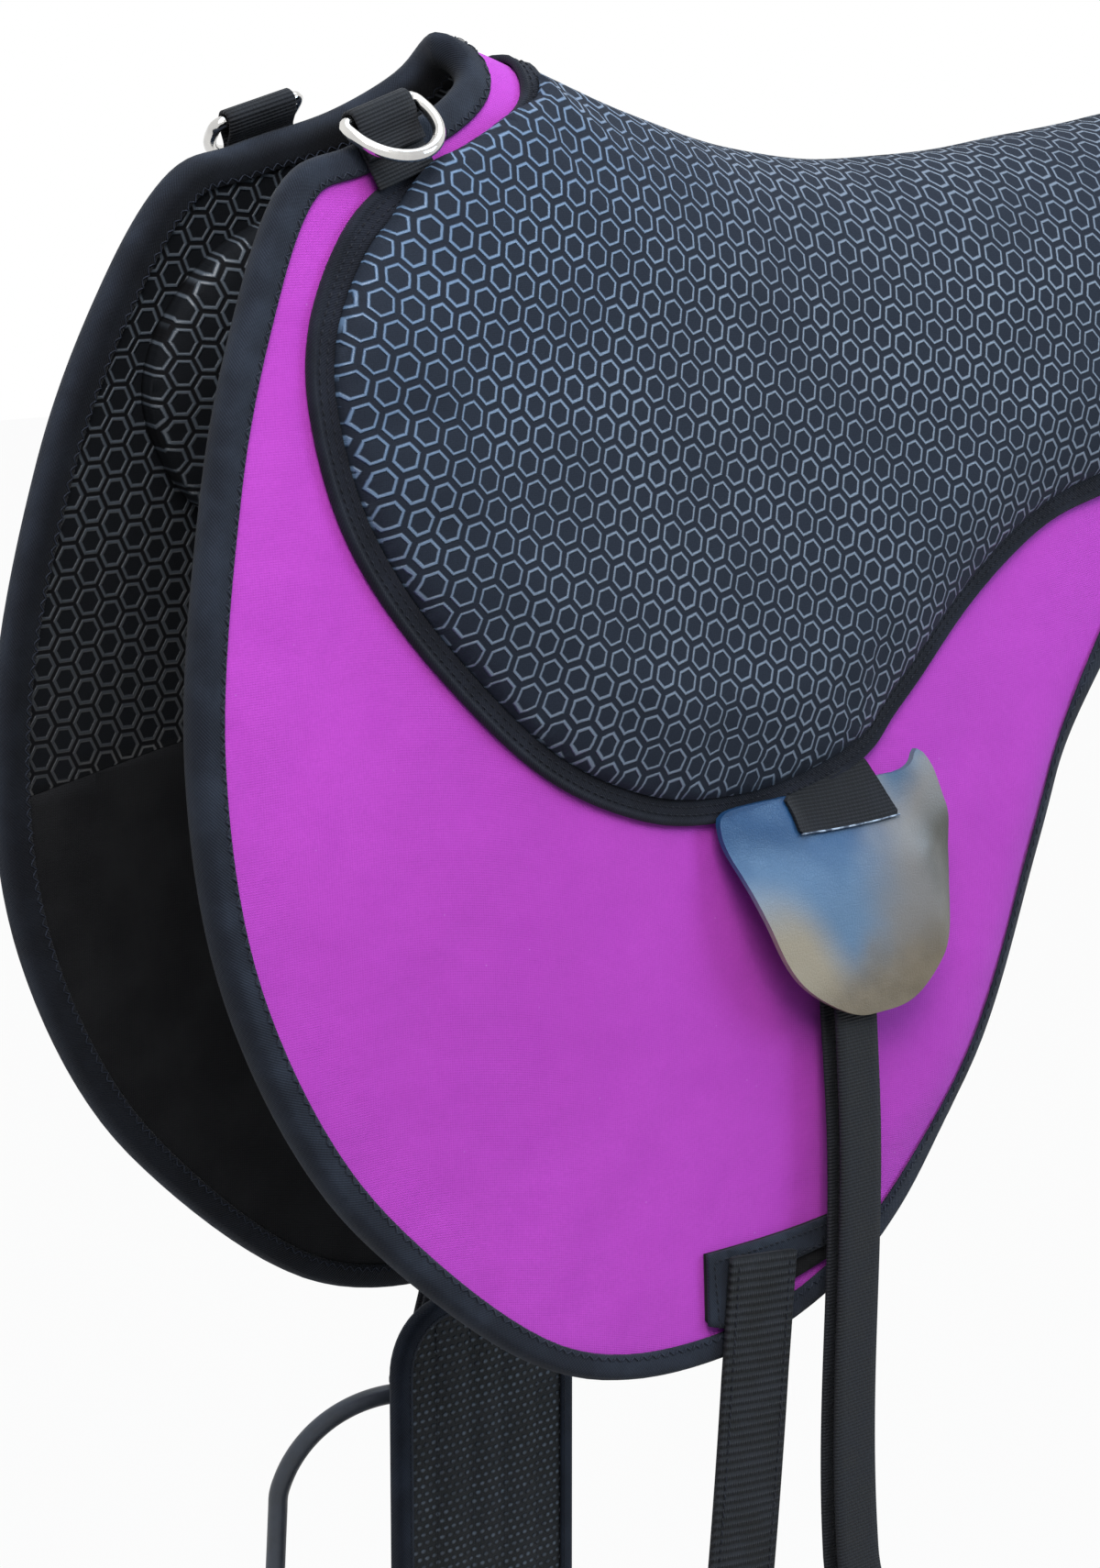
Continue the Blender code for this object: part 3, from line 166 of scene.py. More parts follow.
def directions(path, closed):
    return unit(np.roll(path, -1, 0) - np.roll(path, 1, 0) if closed else np.gradient(path, axis=0))


def inward(line, closed=True):
    run = directions(np.asarray(line), closed)
    return np.stack((-run[:, 1], run[:, 0]), -1)


def edge_distance(x, y, line, closed=True):
    """Distance of each point from a line of flat points."""
    points = np.stack((x, y), -1)
    least = np.full(np.shape(x), np.inf)
    for start, end in zip(line, np.roll(line, -1, 0) if closed else line[1:]):
        offset, run = points - start, end - start
        share = np.clip(offset @ run / (run @ run), 0, 1)
        least = np.minimum(least, np.linalg.norm(offset - share[..., None] * run, axis=-1))
    return least


def clipped(line, point, normal):
    """The part of a closed flat line on the side that the normal points away from."""
    point, normal = np.array(point, float), np.array(normal, float)
    level = (line - point) @ normal
    kept = []
    for k in range(len(line)):
        after = (k + 1) % len(line)
        if level[k] <= 0:
            kept.append(line[k])
        if (level[k] < 0) != (level[after] < 0) and level[k] != level[after]:
            kept.append(line[k] + (line[after] - line[k]) * level[k] / (level[k] - level[after]))
    return np.array(kept)


REAR_EDGE = outline(FLAP[12:17], -LENGTH / 2, LENGTH, DROP, 0.01)


def mirrored(points, side):
    """Near-side world points, turned over for the off side."""
    return np.asarray(points, float) * (1, -side, 1)


def laid(side):
    """Lays near-side flat points on either side."""
    return lambda x, y, height: mirrored(lay(x, y, height), side)


def at(x, drop, height=0.0):
    return Vector(lay(x, -drop, height))


def arc(centre, radius, start, end, steps):
    angles = np.linspace(start, end, steps + 1)
    return [(centre[0] + radius * cos(a), centre[1] + radius * sin(a)) for a in angles]


def rounded(half, top, bottom, radius, steps):
    """A rounded rectangle with its middle line at 0 across."""
    corners = ((half - radius, top - radius), (radius - half, top - radius),
               (radius - half, bottom + radius), (half - radius, bottom + radius))
    return [p for k, corner in enumerate(corners)
            for p in arc(corner, radius, k * pi / 2, (k + 1) * pi / 2, steps)]


def in_plane(origin, first, second, points, side=-1):
    """World points of a drawing on two axes, turned over for the off side."""
    points = np.asarray(points, float)
    return mirrored(np.asarray(origin) + points[:, :1] * np.asarray(first)
                    + points[:, 1:] * np.asarray(second), side)


def bent(origin, first, second, points, pitch, side=-1, closed=False):
    return in_plane(origin, first, second, even_line(points, pitch, closed), side)


# Meshes


def make(name, co, faces, uvs=None, slots=None):
    """A smooth object from points, faces, flat coordinates per point or corner, and face slots."""
    data = bpy.data.meshes.new(name)
    data.from_pydata(np.asarray(co).tolist(), [], [list(f) for f in faces])
    corners = np.zeros(len(data.loops), np.int32)
    data.loops.foreach_get("vertex_index", corners)
    uvs = np.zeros((len(co), 2)) if uvs is None else np.asarray(uvs, float)
    flat = uvs[corners] if len(uvs) == len(co) else uvs
    data.uv_layers.new(name="UVMap").data.foreach_set("uv", flat.astype(np.float32).ravel())
    if slots is not None:
        data.polygons.foreach_set("material_index", np.asarray(slots, np.int32))
    mesh = bmesh.new()
    mesh.from_mesh(data)
    bmesh.ops.recalc_face_normals(mesh, faces=mesh.faces[:])
    mesh.to_mesh(data)
    mesh.free()
    data.shade_smooth()
    return added(name, data)


def added(name, data):
    thing = bpy.data.objects.new(name, data)
    scene.collection.objects.link(thing)
    return thing


def flat_mesh(line, pitch, rings=()):
    """Flat points, faces and rim edges inside an outline, cut along a square grid."""
    mesh = bmesh.new()
    loop = [mesh.verts.new((p[0], p[1], 0)) for p in line]
    for depth in rings:
        inner = [mesh.verts.new((p[0], p[1], 0)) for p in line + inward(line) * depth]
        for k in range(len(loop)):
            after = (k + 1) % len(loop)
            mesh.faces.new((loop[k], loop[after], inner[after], inner[k]))
        loop = inner
    mesh.faces.new(loop)
    low, high = np.min(line, 0), np.max(line, 0)
    for axis, normal in ((0, Vector((1, 0, 0))), (1, Vector((0, 1, 0)))):
        for value in np.arange(np.ceil(low[axis] / pitch) * pitch, high[axis] - 0.1 * pitch, pitch):
            bmesh.ops.bisect_plane(mesh, geom=mesh.verts[:] + mesh.edges[:] + mesh.faces[:],
                                   dist=0.00002, plane_co=normal * float(value), plane_no=normal)
    bmesh.ops.triangulate(mesh, faces=[f for f in mesh.faces if len(f.verts) > 4])
    mesh.verts.index_update()
    co = np.array([(v.co.x, v.co.y) for v in mesh.verts])
    faces = [[v.index for v in f.verts] for f in mesh.faces]
    rim = [[v.index for v in e.verts] for e in mesh.edges if len(e.link_faces) == 1]
    mesh.free()
    return co, faces, rim


def solid(name, flat, low, high, place=lay, walls=2, edge_slot=0, mirror=False):
    """A flat pattern as a closed sheet between two heights."""
    co, faces, rim = flat
    x, y = co[:, 0], co[:, 1]
    top = np.broadcast_to(high(x, y) if callable(high) else high, x.shape)
    bottom = np.broadcast_to(low(x, y) if callable(low) else low, x.shape)
    picks = np.array(sorted({v for pair in rim for v in pair}))
    at = {v: k for k, v in enumerate(picks)}
    rows = [place(x, y, top)]
    for step in range(1, walls):
        share = step / walls
        rows.append(place(x[picks], y[picks], top[picks] * (1 - share) + bottom[picks] * share))
    rows.append(place(x, y, bottom))
    count, low_base = len(co), len(co) + len(picks) * (walls - 1)

    def index(v, level):
        if level == 0:
            return v
        if level == walls:
            return v + low_base
        return count + (level - 1) * len(picks) + at[v]

    built, slots = [], []
    for face in faces:
        built.append(face)
        built.append([v + low_base for v in face[::-1]])
        slots += [0, 0]
    for a, b in rim:
        for step in range(walls):
            built.append([index(b, step), index(a, step), index(a, step + 1), index(b, step + 1)])
            slots.append(edge_slot)
    flat_co = np.stack((x, -np.abs(y)), -1) if mirror else co
    uv = np.vstack([flat_co] + [flat_co[picks]] * (walls - 1) + [flat_co])
    return make(name, np.vstack(rows), built, uv, slots)


def ring_faces(count, width, closed, along=None, across=None):
    """Faces over rows of points, each a ring, and their corners' flat places; open ends are capped."""
    along = np.zeros(count + 1) if along is None else along
    across = np.zeros(width + 1) if across is None else across
    faces, uvs = [], []
    for k in range(count if closed else count - 1):
        after = (k + 1) % count
        for m in range(width):
            m2 = (m + 1) % width
            faces.append((k * width + m, k * width + m2, after * width + m2, after * width + m))
            uvs += [(along[k], across[m]), (along[k], across[m + 1]),
                    (along[k + 1], across[m + 1]), (along[k + 1], across[m])]
    if not closed:
        for k, order in ((0, range(width)[::-1]), (count - 1, range(width))):
            faces.append([k * width + m for m in order])
            uvs += [(along[k], across[m]) for m in order]
    return faces, uvs


def swept(name, line, profile, place=lay):
    """A tape round a closed flat line: a closed profile of points (inset, height)."""
    profile = np.array(profile, float)
    flat = line[:, None, :] + inward(line)[:, None, :] * profile[None, :, 0, None]
    height = np.broadcast_to(profile[None, :, 1], flat.shape[:2])
    co = place(flat[..., 0].ravel(), flat[..., 1].ravel(), height.ravel())
    return make(name, co, *ring_faces(len(line), len(profile), True, lengths(line), lengths(profile)))


def strap(name, path, across, wide, thick, closed=False):
    """A flat strap with rounded edges along a line of world points; across is its width's line."""
    path = np.asarray(path, float)
    runs = directions(path, closed)
    across = np.broadcast_to(np.asarray(across, float), path.shape)
    across = unit(across - (across * runs).sum(1)[:, None] * runs)
    w, t, bevel = wide / 2, thick / 2, thick * 0.35
    half = [(-w, bevel - t), (bevel - w, -t), (-w * 0.6, -t), (0, -t), (w * 0.6, -t), (w - bevel, -t),
            (w, bevel - t)]
    profile = np.array(half + [(-x, -y) for x, y in half])
    co = (path[:, None, :] + across[:, None, :] * profile[None, :, 0, None]
          + np.cross(runs, across)[:, None, :] * profile[None, :, 1, None]).reshape(-1, 3)
    return make(name, co, *ring_faces(len(path), len(profile), closed, lengths(path),
                                      np.append(profile[:, 0], -w)))


def tube(name, path, radius, normal, sides=14, closed=False):
    """A round rod along world points in a plane that has the normal; open ends are domed."""
    path, normal = np.asarray(path, float), np.asarray(normal, float)
    sizes = np.full(len(path), radius)
    if not closed:
        reach, fat = np.array((-0.97, -0.7, -0.3)) + 1, np.array((0.25, 0.71, 0.95)) * radius
        runs, inner = directions(path, False), path[1:-1]
        head = [path[0] + runs[0] * radius * a for a in reach]
        tail = [path[-1] - runs[-1] * radius * a for a in reach][::-1]
        keep = ((np.linalg.norm(inner - path[0], axis=1) > radius)
                & (np.linalg.norm(inner - path[-1], axis=1) > radius))
        path = np.vstack((head, inner[keep], tail))
        sizes = np.concatenate((fat, np.full(keep.sum(), radius), fat[::-1]))
    runs = directions(path, closed)
    side = unit(np.cross(normal, runs))
    up = np.cross(runs, side)
    angles = np.arange(sides) * 2 * pi / sides
    co = path[:, None, :] + (side[:, None, :] * np.cos(angles)[None, :, None]
                             + up[:, None, :] * np.sin(angles)[None, :, None]) * sizes[:, None, None]
    return make(name, co.reshape(-1, 3), *ring_faces(len(path), sides, closed))


# Levels of one thread: share of its length, rise and thickness in radii
THREAD_LEVELS = ((0.0, -1.2, 0.5), (0.16, 0.2, 1.0), (0.5, 0.75, 1.1), (0.84, 0.2, 1.0), (1.0, -1.2, 0.5))


def stitches(name, starts, ends, height, place, radius):
    """Short threads between pairs of flat points, each dipping into the cloth at its ends."""
    run = ends - starts
    side = unit(run)[:, ::-1] * (-1, 1)
    rows = []
    for share, rise, fat in THREAD_LEVELS:
        middle = starts + run * share
        for turn in (0.25, 0.75, 1.25, 1.75):
            spot = middle + side * cos(turn * pi) * radius * fat
            raised = height + (sin(turn * pi) * fat + rise) * radius
            rows.append(place(spot[:, 0], spot[:, 1], raised))
    co = np.stack(rows, 1).reshape(-1, 3)
    thread, _ = ring_faces(len(THREAD_LEVELS), 4, False)
    faces = [[v + base for v in face] for base in range(0, len(co), len(rows)) for face in thread]
    return make(name, co, faces)


def row_of(line, depth, pitch, closed=True):
    """Start and end points of a row of stitches at a depth inside a flat line."""
    path = even_line(line + inward(line, closed) * depth, pitch, closed)
    after = np.roll(path, -1, 0)
    if not closed:
        path, after = path[:-1], path[1:]
    return path, path + (after - path) * 0.72


def zigzag(line, shallow, deep, pitch):
    path = even_line(line, pitch, True)
    path = path[:len(path) // 2 * 2]
    depth = np.where(np.arange(len(path)) % 2 == 0, shallow, deep)
    points = path + inward(path) * depth[:, None]
    return points, np.roll(points, -1, 0)


def joined(name, pieces):
    """One object from several, as separate closed bodies."""
    bpy.ops.object.select_all(action="DESELECT")
    for piece in pieces:
        piece.select_set(True)
    bpy.context.view_layer.objects.active = pieces[0]
    bpy.ops.object.join()
    pieces[0].name = name
    return pieces[0]


def dress(piece, *materials):
    piece.data.materials.clear()
    for material in materials:
        piece.data.materials.append(material)


def settle(piece, body, nodes, *materials, slot=None):
    """Give a piece its materials, its body and the nodes that it stands for."""
    nodes = [nodes] if isinstance(nodes, str) else nodes
    dress(piece, *materials)
    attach(piece, body)
    if nodes:
        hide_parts(*nodes)


def points_of(piece):
    co = np.zeros(len(piece.data.vertices) * 3)
    piece.data.vertices.foreach_get("co", co)
    return co.reshape(-1, 3)


def set_points(piece, co):
    piece.data.vertices.foreach_set("co", np.asarray(co, float).ravel())
    piece.data.update()


def change_uvs(piece, change):
    """Put the flat coordinates of a piece through a function of rows of (u, v)."""
    layer = piece.data.uv_layers.active.data
    flat = np.zeros(len(layer) * 2)
    layer.foreach_get("uv", flat)
    layer.foreach_set("uv", change(flat.reshape(-1, 2)).astype(np.float32).ravel())


PUFF_PRESSURE, PUFF_FRAMES, PUFF_CAP = 4.0, 20, 0.0025


def puff(piece, held):
    """Blow the cloth up from inside, with the held points pinned and each move capped."""
    start = points_of(piece)
    piece.vertex_groups.new(name="held").add(held, 1.0, "REPLACE")
    modifier = piece.modifiers.new("puff", "CLOTH")
    settings = modifier.settings
    settings.vertex_group_mass = "held"
    settings.use_pressure = True
    settings.uniform_pressure_force = PUFF_PRESSURE
    settings.effector_weights.gravity = 0
    settings.quality = 5
    modifier.point_cache.frame_start = 1
    modifier.point_cache.frame_end = PUFF_FRAMES
    for number in range(1, PUFF_FRAMES + 1):
        scene.frame_set(number)
    move = points_of(piece.evaluated_get(bpy.context.evaluated_depsgraph_get())) - start
    far = np.linalg.norm(move, axis=1)
    move *= np.where(far > PUFF_CAP, PUFF_CAP / np.maximum(far, 1e-9), 1.0)[:, None]
    piece.modifiers.remove(modifier)
    piece.vertex_groups.clear()
    set_points(piece, start + move)
    scene.frame_set(1)
    return piece


# Materials


class Graph:
    """Short calls to build a tree of shader nodes."""

    def __init__(self, tree):
        self.tree = tree

    def feed(self, socket, value):
        if isinstance(value, bpy.types.NodeSocket):
            self.tree.links.new(value, socket)
        elif value is not None:
            socket.default_value = value

    def new(self, kind, inputs=(), out=0, **settings):
        """One output of a new node, or all of them, with its inputs fed by number or name."""
        node = self.tree.nodes.new("ShaderNode" + kind)
        for key, value in settings.items():
            setattr(node, key, value)
        for key, value in dict(inputs).items():
            self.feed(node.inputs[key], value)
        return node.outputs if out is None else node.outputs[out]

    def math(self, operation, a, b=None, c=None):
        return self.new("Math", enumerate((a, b, c)), operation=operation)

    def times(self, a, b):
        return self.math("MULTIPLY", a, b)

    def plus(self, a, b):
        return self.math("ADD", a, b)

    def vector(self, operation, a, b=None, c=None):
        out = "Value" if operation in ("LENGTH", "DOT_PRODUCT") else 0
        return self.new("VectorMath", enumerate((a, b, c)), out, operation=operation)

    def coordinate(self, kind):
        return self.new("TexCoord", out=kind)

    def parts(self, vector):
        return self.new("SeparateXYZ", {0: vector}, None)

    def noise(self, scale, detail=3.0, vector=None, roughness=0.5, out="Fac"):
        vector = self.coordinate("Object") if vector is None else vector
        return self.new("TexNoise", {"Vector": vector, "Scale": scale, "Detail": detail,
                                     "Roughness": roughness}, out)

    def cells(self, scale, feature="F1"):
        return self.new("TexVoronoi", {"Vector": self.coordinate("Object"), "Scale": scale}, "Distance",
                        feature=feature)

    def between(self, value, low, high, to_low=0.0, to_high=1.0, smooth=True):
        return self.new("MapRange", enumerate((value, low, high, to_low, to_high)),
                        interpolation_type="SMOOTHSTEP" if smooth else "LINEAR")

    def mix(self, share, a, b):
        a, b = ((*value, 1) if isinstance(value, tuple) else value for value in (a, b))
        return self.new("Mix", {0: share, 6: a, 7: b}, 2, data_type="RGBA")

    def blend(self, tone, a, b, low=0.35, high=0.7):
        """One colour or the other, as a noise is low or high."""
        return self.mix(self.between(tone, low, high), a, b)

    def waves(self, value, pitch):
        """0 to 1 and back over each pitch of a length."""
        angle = self.math("MULTIPLY_ADD", value, 2 * pi / pitch, 0.0)
        return self.math("MULTIPLY_ADD", self.math("SINE", angle), 0.5, 0.5)

    def seen(self):
        """1 for the rays that show a thing, 0 for those that only light others."""
        ray = self.new("LightPath", out=None)
        return self.math("MAXIMUM", ray["Is Camera Ray"],
                         self.math("MAXIMUM", ray["Is Glossy Ray"], ray["Is Transmission Ray"]))


class Nodes(Graph):
    """A material and what feeds its shader."""

    def __init__(self, name, colour, roughness, **sockets):
        self.material = bpy.data.materials.new(name)
        self.material.use_nodes = True
        self.material.diffuse_color = (*colour, 1)
        super().__init__(self.material.node_tree)
        self.shader = self.tree.nodes["Principled BSDF"]
        self.put(Base_Color=(*colour, 1), Roughness=roughness, **sockets)

    def put(self, **sockets):
        for key, value in sockets.items():
            self.feed(self.shader.inputs[key.replace("_", " ")], value)

    def bump(self, *layers):
        """The finished material, with layers of (height, distance in metres, strength)."""
        normal = None
        for height, distance, strength in layers:
            normal = self.new("Bump", {"Strength": strength, "Distance": distance, "Height": height,
                                       "Normal": normal})
        self.put(Normal=normal)
        return self.material


# Creases of the cover beside the pommel, by their ends in the flat pattern
CREASES = (((-0.166, -0.046), (-0.146, -0.062)), ((-0.158, -0.04), (-0.139, -0.054)))


def softshell():
    n = Nodes("purple_softshell", (0.53, 0.056, 0.535), 0.78, Sheen_Weight=0.2, Sheen_Roughness=0.45,
              Sheen_Tint=(0.85, 0.55, 0.95, 1), Specular_IOR_Level=0.35)
    uv = n.coordinate("UV")
    u, v, _ = n.parts(uv)
    wide, fine = n.noise(7.0, 2.0), n.noise(900.0, 2.0)
    worn = n.noise(38.0, 5.0, roughness=0.6)
    shade = n.blend(wide, (0.508, 0.05, 0.505), (0.57, 0.063, 0.565), 0.32, 0.68)
    shade = n.mix(n.between(worn, 0.42, 0.75, 0, 0.35), shade, (0.47, 0.038, 0.48))
    lint = n.times(n.between(n.cells(130.0), 0.035, 0.06, 1, 0), n.between(n.noise(60.0), 0.52, 0.6))
    shade = n.mix(n.times(lint, 0.45), shade, (0.62, 0.3, 0.7))
    shade = n.mix(n.between(fine, 0.3, 0.7, 0, 0.22), shade, (0.4, 0.028, 0.415))
    knit = n.times(n.waves(u, 0.0011), n.waves(v, 0.0009))
    crease = 0.0
    for (x0, y0), (x1, y1) in CREASES:
        span = ((x1 - x0) ** 2 + (y1 - y0) ** 2) ** 0.5
        run = ((x1 - x0) / span, (y1 - y0) / span, 0)
        offset = n.vector("SUBTRACT", uv, (x0, y0, 0))
        along = n.vector("DOT_PRODUCT", offset, run)
        aside = n.math("ABSOLUTE", n.vector("DOT_PRODUCT", offset, (-run[1], run[0], 0)))
        ends = n.times(n.between(along, 0, span * 0.4), n.between(along, span * 0.7, span, 1, 0))
        crease = n.math("MAXIMUM", crease, n.times(n.between(aside, 0.0, 0.0035, 1, 0), ends))
    n.put(Base_Color=shade, Roughness=n.between(wide, 0.3, 0.7, 0.74, 0.84))
    return n.bump((n.noise(26.0, 3.0, roughness=0.55), 0.0035, 0.5), (crease, 0.004, -1.0),
                  (knit, 0.00018, 0.7), (fine, 0.00015, 0.6))


def lattice(n, place, half):
    """Offsets from the nearest middles of cells set off by half, in alternate rows."""
    low = tuple(-v for v in half)
    return [n.vector("WRAP", spot, half, low) for spot in (place, n.vector("SUBTRACT", place, half))]


def grip(name, pitch, angle, across, width, ground, rings):
    """Fabric with a lattice of raised six-sided outlines, in metres of the flat pattern.

    rings holds two colours, how far the second grows per metre along and down, and its start and end; this
    change of colour is painted reflection, the outlines drawn brighter and bluer where they would catch the
    lamps.
    """
    n = Nodes(name, ground[0], 0.6)
    uv = n.coordinate("UV")
    u, v, _ = n.parts(uv)
    wander = n.noise(16.0, 1.0, uv, out="Color")
    drift = n.vector("MULTIPLY_ADD", wander, (0.0024, 0.0024, 0), (-0.0012, -0.0012, 0))
    place = n.new("Mapping", {"Vector": n.vector("ADD", uv, drift), "Rotation": (0, 0, -angle)})
    flat = (1, 1, 0)
    half = (pitch / 2, pitch * 3 ** 0.5 / 2, 1 / 2)
    first, second = (n.vector("MULTIPLY", spot, flat)
                     for spot in lattice(n, n.vector("MULTIPLY", place, flat), half))
    nearer = n.math("LESS_THAN", n.vector("LENGTH", second), n.vector("LENGTH", first))
    size = n.vector("ABSOLUTE", n.new("Mix", {0: nearer, 4: first, 5: second}, 1, data_type="VECTOR"))
    reach = n.math("MAXIMUM", n.parts(size)[0], n.vector("DOT_PRODUCT", size, (0.5, 3 ** 0.5 / 2, 0)))
    edge, soft = across / 2, width * 0.28
    uneven = n.between(n.noise(24.0, 2.0, uv), 0.3, 0.7, -width * 0.16, width * 0.16)
    inner = n.between(n.plus(reach, uneven), edge - width - soft, edge - width + soft)
    ring = n.times(inner, n.between(reach, edge - soft, edge + soft, 1, 0))
    inside = n.between(reach, edge - width - soft, edge - width + soft, 1, 0)
    fibre = n.noise(1400.0, 2.0, uv)
    fabric = n.mix(inside, ground[1], ground[0])
    fabric = n.mix(n.between(fibre, 0.35, 0.75, 0, 0.4), fabric, tuple(c * 0.45 for c in ground[0]))
    # Painted reflection: the raised outlines go from lit to dull across the piece.
    lean = n.plus(n.times(u, rings[2]), n.times(v, rings[3]))
    lean = n.plus(lean, n.times(n.noise(5.0, 2.0, uv), 0.5))
    raised = n.blend(lean, rings[0], rings[1], rings[4], rings[5])
    n.put(Base_Color=n.mix(ring, fabric, raised), Roughness=n.between(ring, 0, 1, 0.75, 0.38),
          Specular_IOR_Level=n.between(ring, 0, 1, 0.1, 0.5))
    weave = n.times(n.waves(u, 0.0008), n.waves(v, 0.0008))
    return n.bump((ring, 0.0007, 1.0), (weave, 0.0001, 0.5), (fibre, 0.00008, 0.6))


def tape(name, colour=(0.009, 0.011, 0.017), light=(0.021, 0.026, 0.038), shaded=None):
    """Folded twill tape; shaded is (length along, length from the outer edge, whole length) of painted shade:
    the under face past that length from the outer edge is darkened, most within that length along of both ends.
    """
    n = Nodes(name, colour, 0.78, Sheen_Weight=0.05, Specular_IOR_Level=0.14)
    u, v, _ = n.parts(n.coordinate("UV"))
    cross = n.waves(n.math("SUBTRACT", u, v), 0.0021)
    weave = n.times(n.waves(n.plus(u, v), 0.0013), n.math("MULTIPLY_ADD", cross, 0.4, 0.6))
    tone = n.noise(55.0, 4.0)
    shade = n.mix(n.times(weave, 0.3), n.blend(tone, colour, light), tuple(c * 1.8 for c in light))
    # Painted shade: the under face is darkened, most near both ends.
    if shaded:
        reach, under, whole = shaded
        near_end = n.math("MINIMUM", u, n.math("SUBTRACT", whole, u))
        dark = n.between(near_end, reach, reach * 1.6, 0.92, 0.62)
        shade = n.mix(n.times(dark, n.between(v, under - 0.007, under)), shade, (0.002, 0.002, 0.003))
    n.put(Base_Color=shade)
    return n.bump((tone, 0.0012, 0.6), (weave, 0.00022, 0.8))


def webbing(name, pitch=0.0014, colour=(0.005, 0.0055, 0.0065), light=(0.012, 0.013, 0.016), depth=0.0004):
    """Woven strap whose ribs lie across its length."""
    n = Nodes(name, colour, 0.66, Sheen_Weight=0.05, Specular_IOR_Level=0.16)
    length, wide, _ = n.parts(n.coordinate("UV"))
    offset = n.waves(n.plus(wide, n.times(length, 0.5)), 0.0026)
    height = n.times(n.waves(length, pitch), n.math("MULTIPLY_ADD", n.waves(wide, 0.0013), 0.25, 0.75))
    tone = n.noise(70.0, 4.0)
    shade = n.mix(n.times(height, 0.5), n.blend(tone, colour, light), tuple(c * 2.0 for c in light))
    n.put(Base_Color=shade, Roughness=n.between(tone, 0.3, 0.7, 0.58, 0.72))
    return n.bump((height, depth, 0.9), (offset, 0.00012, 0.4), (n.noise(2200.0), 0.00008, 0.5))


def leather():
    """Satin leather with painted reflections and shade in its colour: blue of the sky above, warm brown of the
    ground low down and to the rear; UV is (along, down) the flap.
    """
    n = Nodes("satin_leather", (0.04, 0.06, 0.09), 0.42, Specular_Tint=(0.7, 0.86, 1.0, 1))
    uv = n.coordinate("UV")
    u, v, _ = n.parts(uv)
    tone = n.noise(60.0, 4.0, uv)
    wander = n.math("MULTIPLY_ADD", n.noise(24.0, 3.0, uv), 0.03, -0.015)
    low = n.plus(v, wander)
    # Painted light: dark blue shade at the top under the band, paling downwards into a reflected blue sky.
    colour = n.blend(low, (0.015, 0.058, 0.15), (0.112, 0.19, 0.295), 0.004, 0.048)
    side = n.plus(n.math("MULTIPLY_ADD", v, 0.25, u), wander)
    # Painted reflection: grey-brown towards the rear.
    colour = n.blend(side, colour, (0.212, 0.196, 0.184), 0.008, 0.048)
    # Painted highlight: a cream glow along the lower front edge.
    rim = n.plus(n.math("MULTIPLY_ADD", u, 0.853, 0.0557), n.times(v, -0.521))
    rim = n.times(n.between(rim, 0, 0.024, 1, 0), n.between(v, 0.022, 0.054))
    colour = n.mix(rim, colour, (0.35, 0.29, 0.205))
    # Painted reflection of the ground: warm brown, mottled by the noise, low down and to the rear.
    painted_ground_reflection = n.blend(tone, (0.145, 0.108, 0.064), (0.2, 0.155, 0.1), 0.3, 0.7)
    colour = n.blend(n.plus(low, n.times(u, 0.3)), colour, painted_ground_reflection, 0.05, 0.082)
    # Painted reflection of the sky on the flared rear corner.
    ear = n.times(n.between(u, 0.036, 0.05), n.between(n.plus(low, n.times(u, 0.5)), 0.018, 0.036, 1, 0))
    colour = n.mix(ear, colour, (0.06, 0.125, 0.215))
    # Painted shade where the rear edge turns back towards the pad.
    turned = n.times(n.between(n.plus(u, wander), 0.04, 0.06), n.between(v, 0, 0.024))
    n.put(Base_Color=n.mix(turned, colour, (0.082, 0.072, 0.054)),
          Roughness=n.between(tone, 0.3, 0.7, 0.38, 0.5))
    grain = n.between(n.cells(700.0, feature="DISTANCE_TO_EDGE"), 0.0, 0.16)
    return n.bump((n.noise(18.0, 2.0), 0.004, 0.5), (tone, 0.0008, 0.5), (grain, 0.0001, 0.5),
                  (n.noise(1700.0, 3.0), 0.00006, 0.5))


def spacer():
    """Knitted spacer mesh: rows of small raised knots, every other row set off by half."""
    n = Nodes("spacer_mesh", (0.02, 0.022, 0.025), 0.7, Sheen_Weight=0.05, Specular_IOR_Level=0.2)
    uv = n.coordinate("UV")
    u, v, _ = n.parts(uv)
    first, second = (n.vector("LENGTH", n.vector("MULTIPLY", spot, (0.9, 1.25, 0)))
                     for spot in lattice(n, uv, (0.00215, 0.0038, 0.5)))
    knot = n.between(n.math("MINIMUM", first, second), 0.0005, 0.0016, 1, 0)
    ground = n.blend(n.noise(45.0, 3.0), (0.007, 0.008, 0.009), (0.013, 0.014, 0.016), 0.3)
    raised = n.blend(n.noise(150.0, 2.0), (0.066, 0.073, 0.086), (0.165, 0.182, 0.21))
    n.put(Base_Color=n.mix(knot, ground, raised))
    return n.bump((knot, 0.001, 1.0), (n.times(n.waves(u, 0.00072), n.waves(v, 0.0009)), 0.0002, 0.7))


def mottled(name, colour, roughness, scale, detail, dark, light, bumps, low=0.35, high=0.7, **sockets):
    """A material in two colours by a noise; bumps makes the layers from the material and that noise."""
    n = Nodes(name, colour, roughness, **sockets)
    tone = n.noise(scale, detail)
    n.put(Base_Color=n.blend(tone, dark, light, low, high))
    return n.bump(*bumps(n, tone))


def thread(name, colour):
    return mottled(name, colour, 0.65, 900.0, 2.0, colour, tuple(c * 2.2 for c in colour),
                   lambda n, tone: [(tone, 0.0001, 0.5)], 0.3, 0.7, Sheen_Weight=0.04, Specular_IOR_Level=0.12)


def lining_bumps(n, tone):
    u, v, _ = n.parts(n.coordinate("UV"))
    return (tone, 0.0015, 0.5), (n.times(n.waves(u, 0.001), n.waves(v, 0.001)), 0.0002, 0.6)


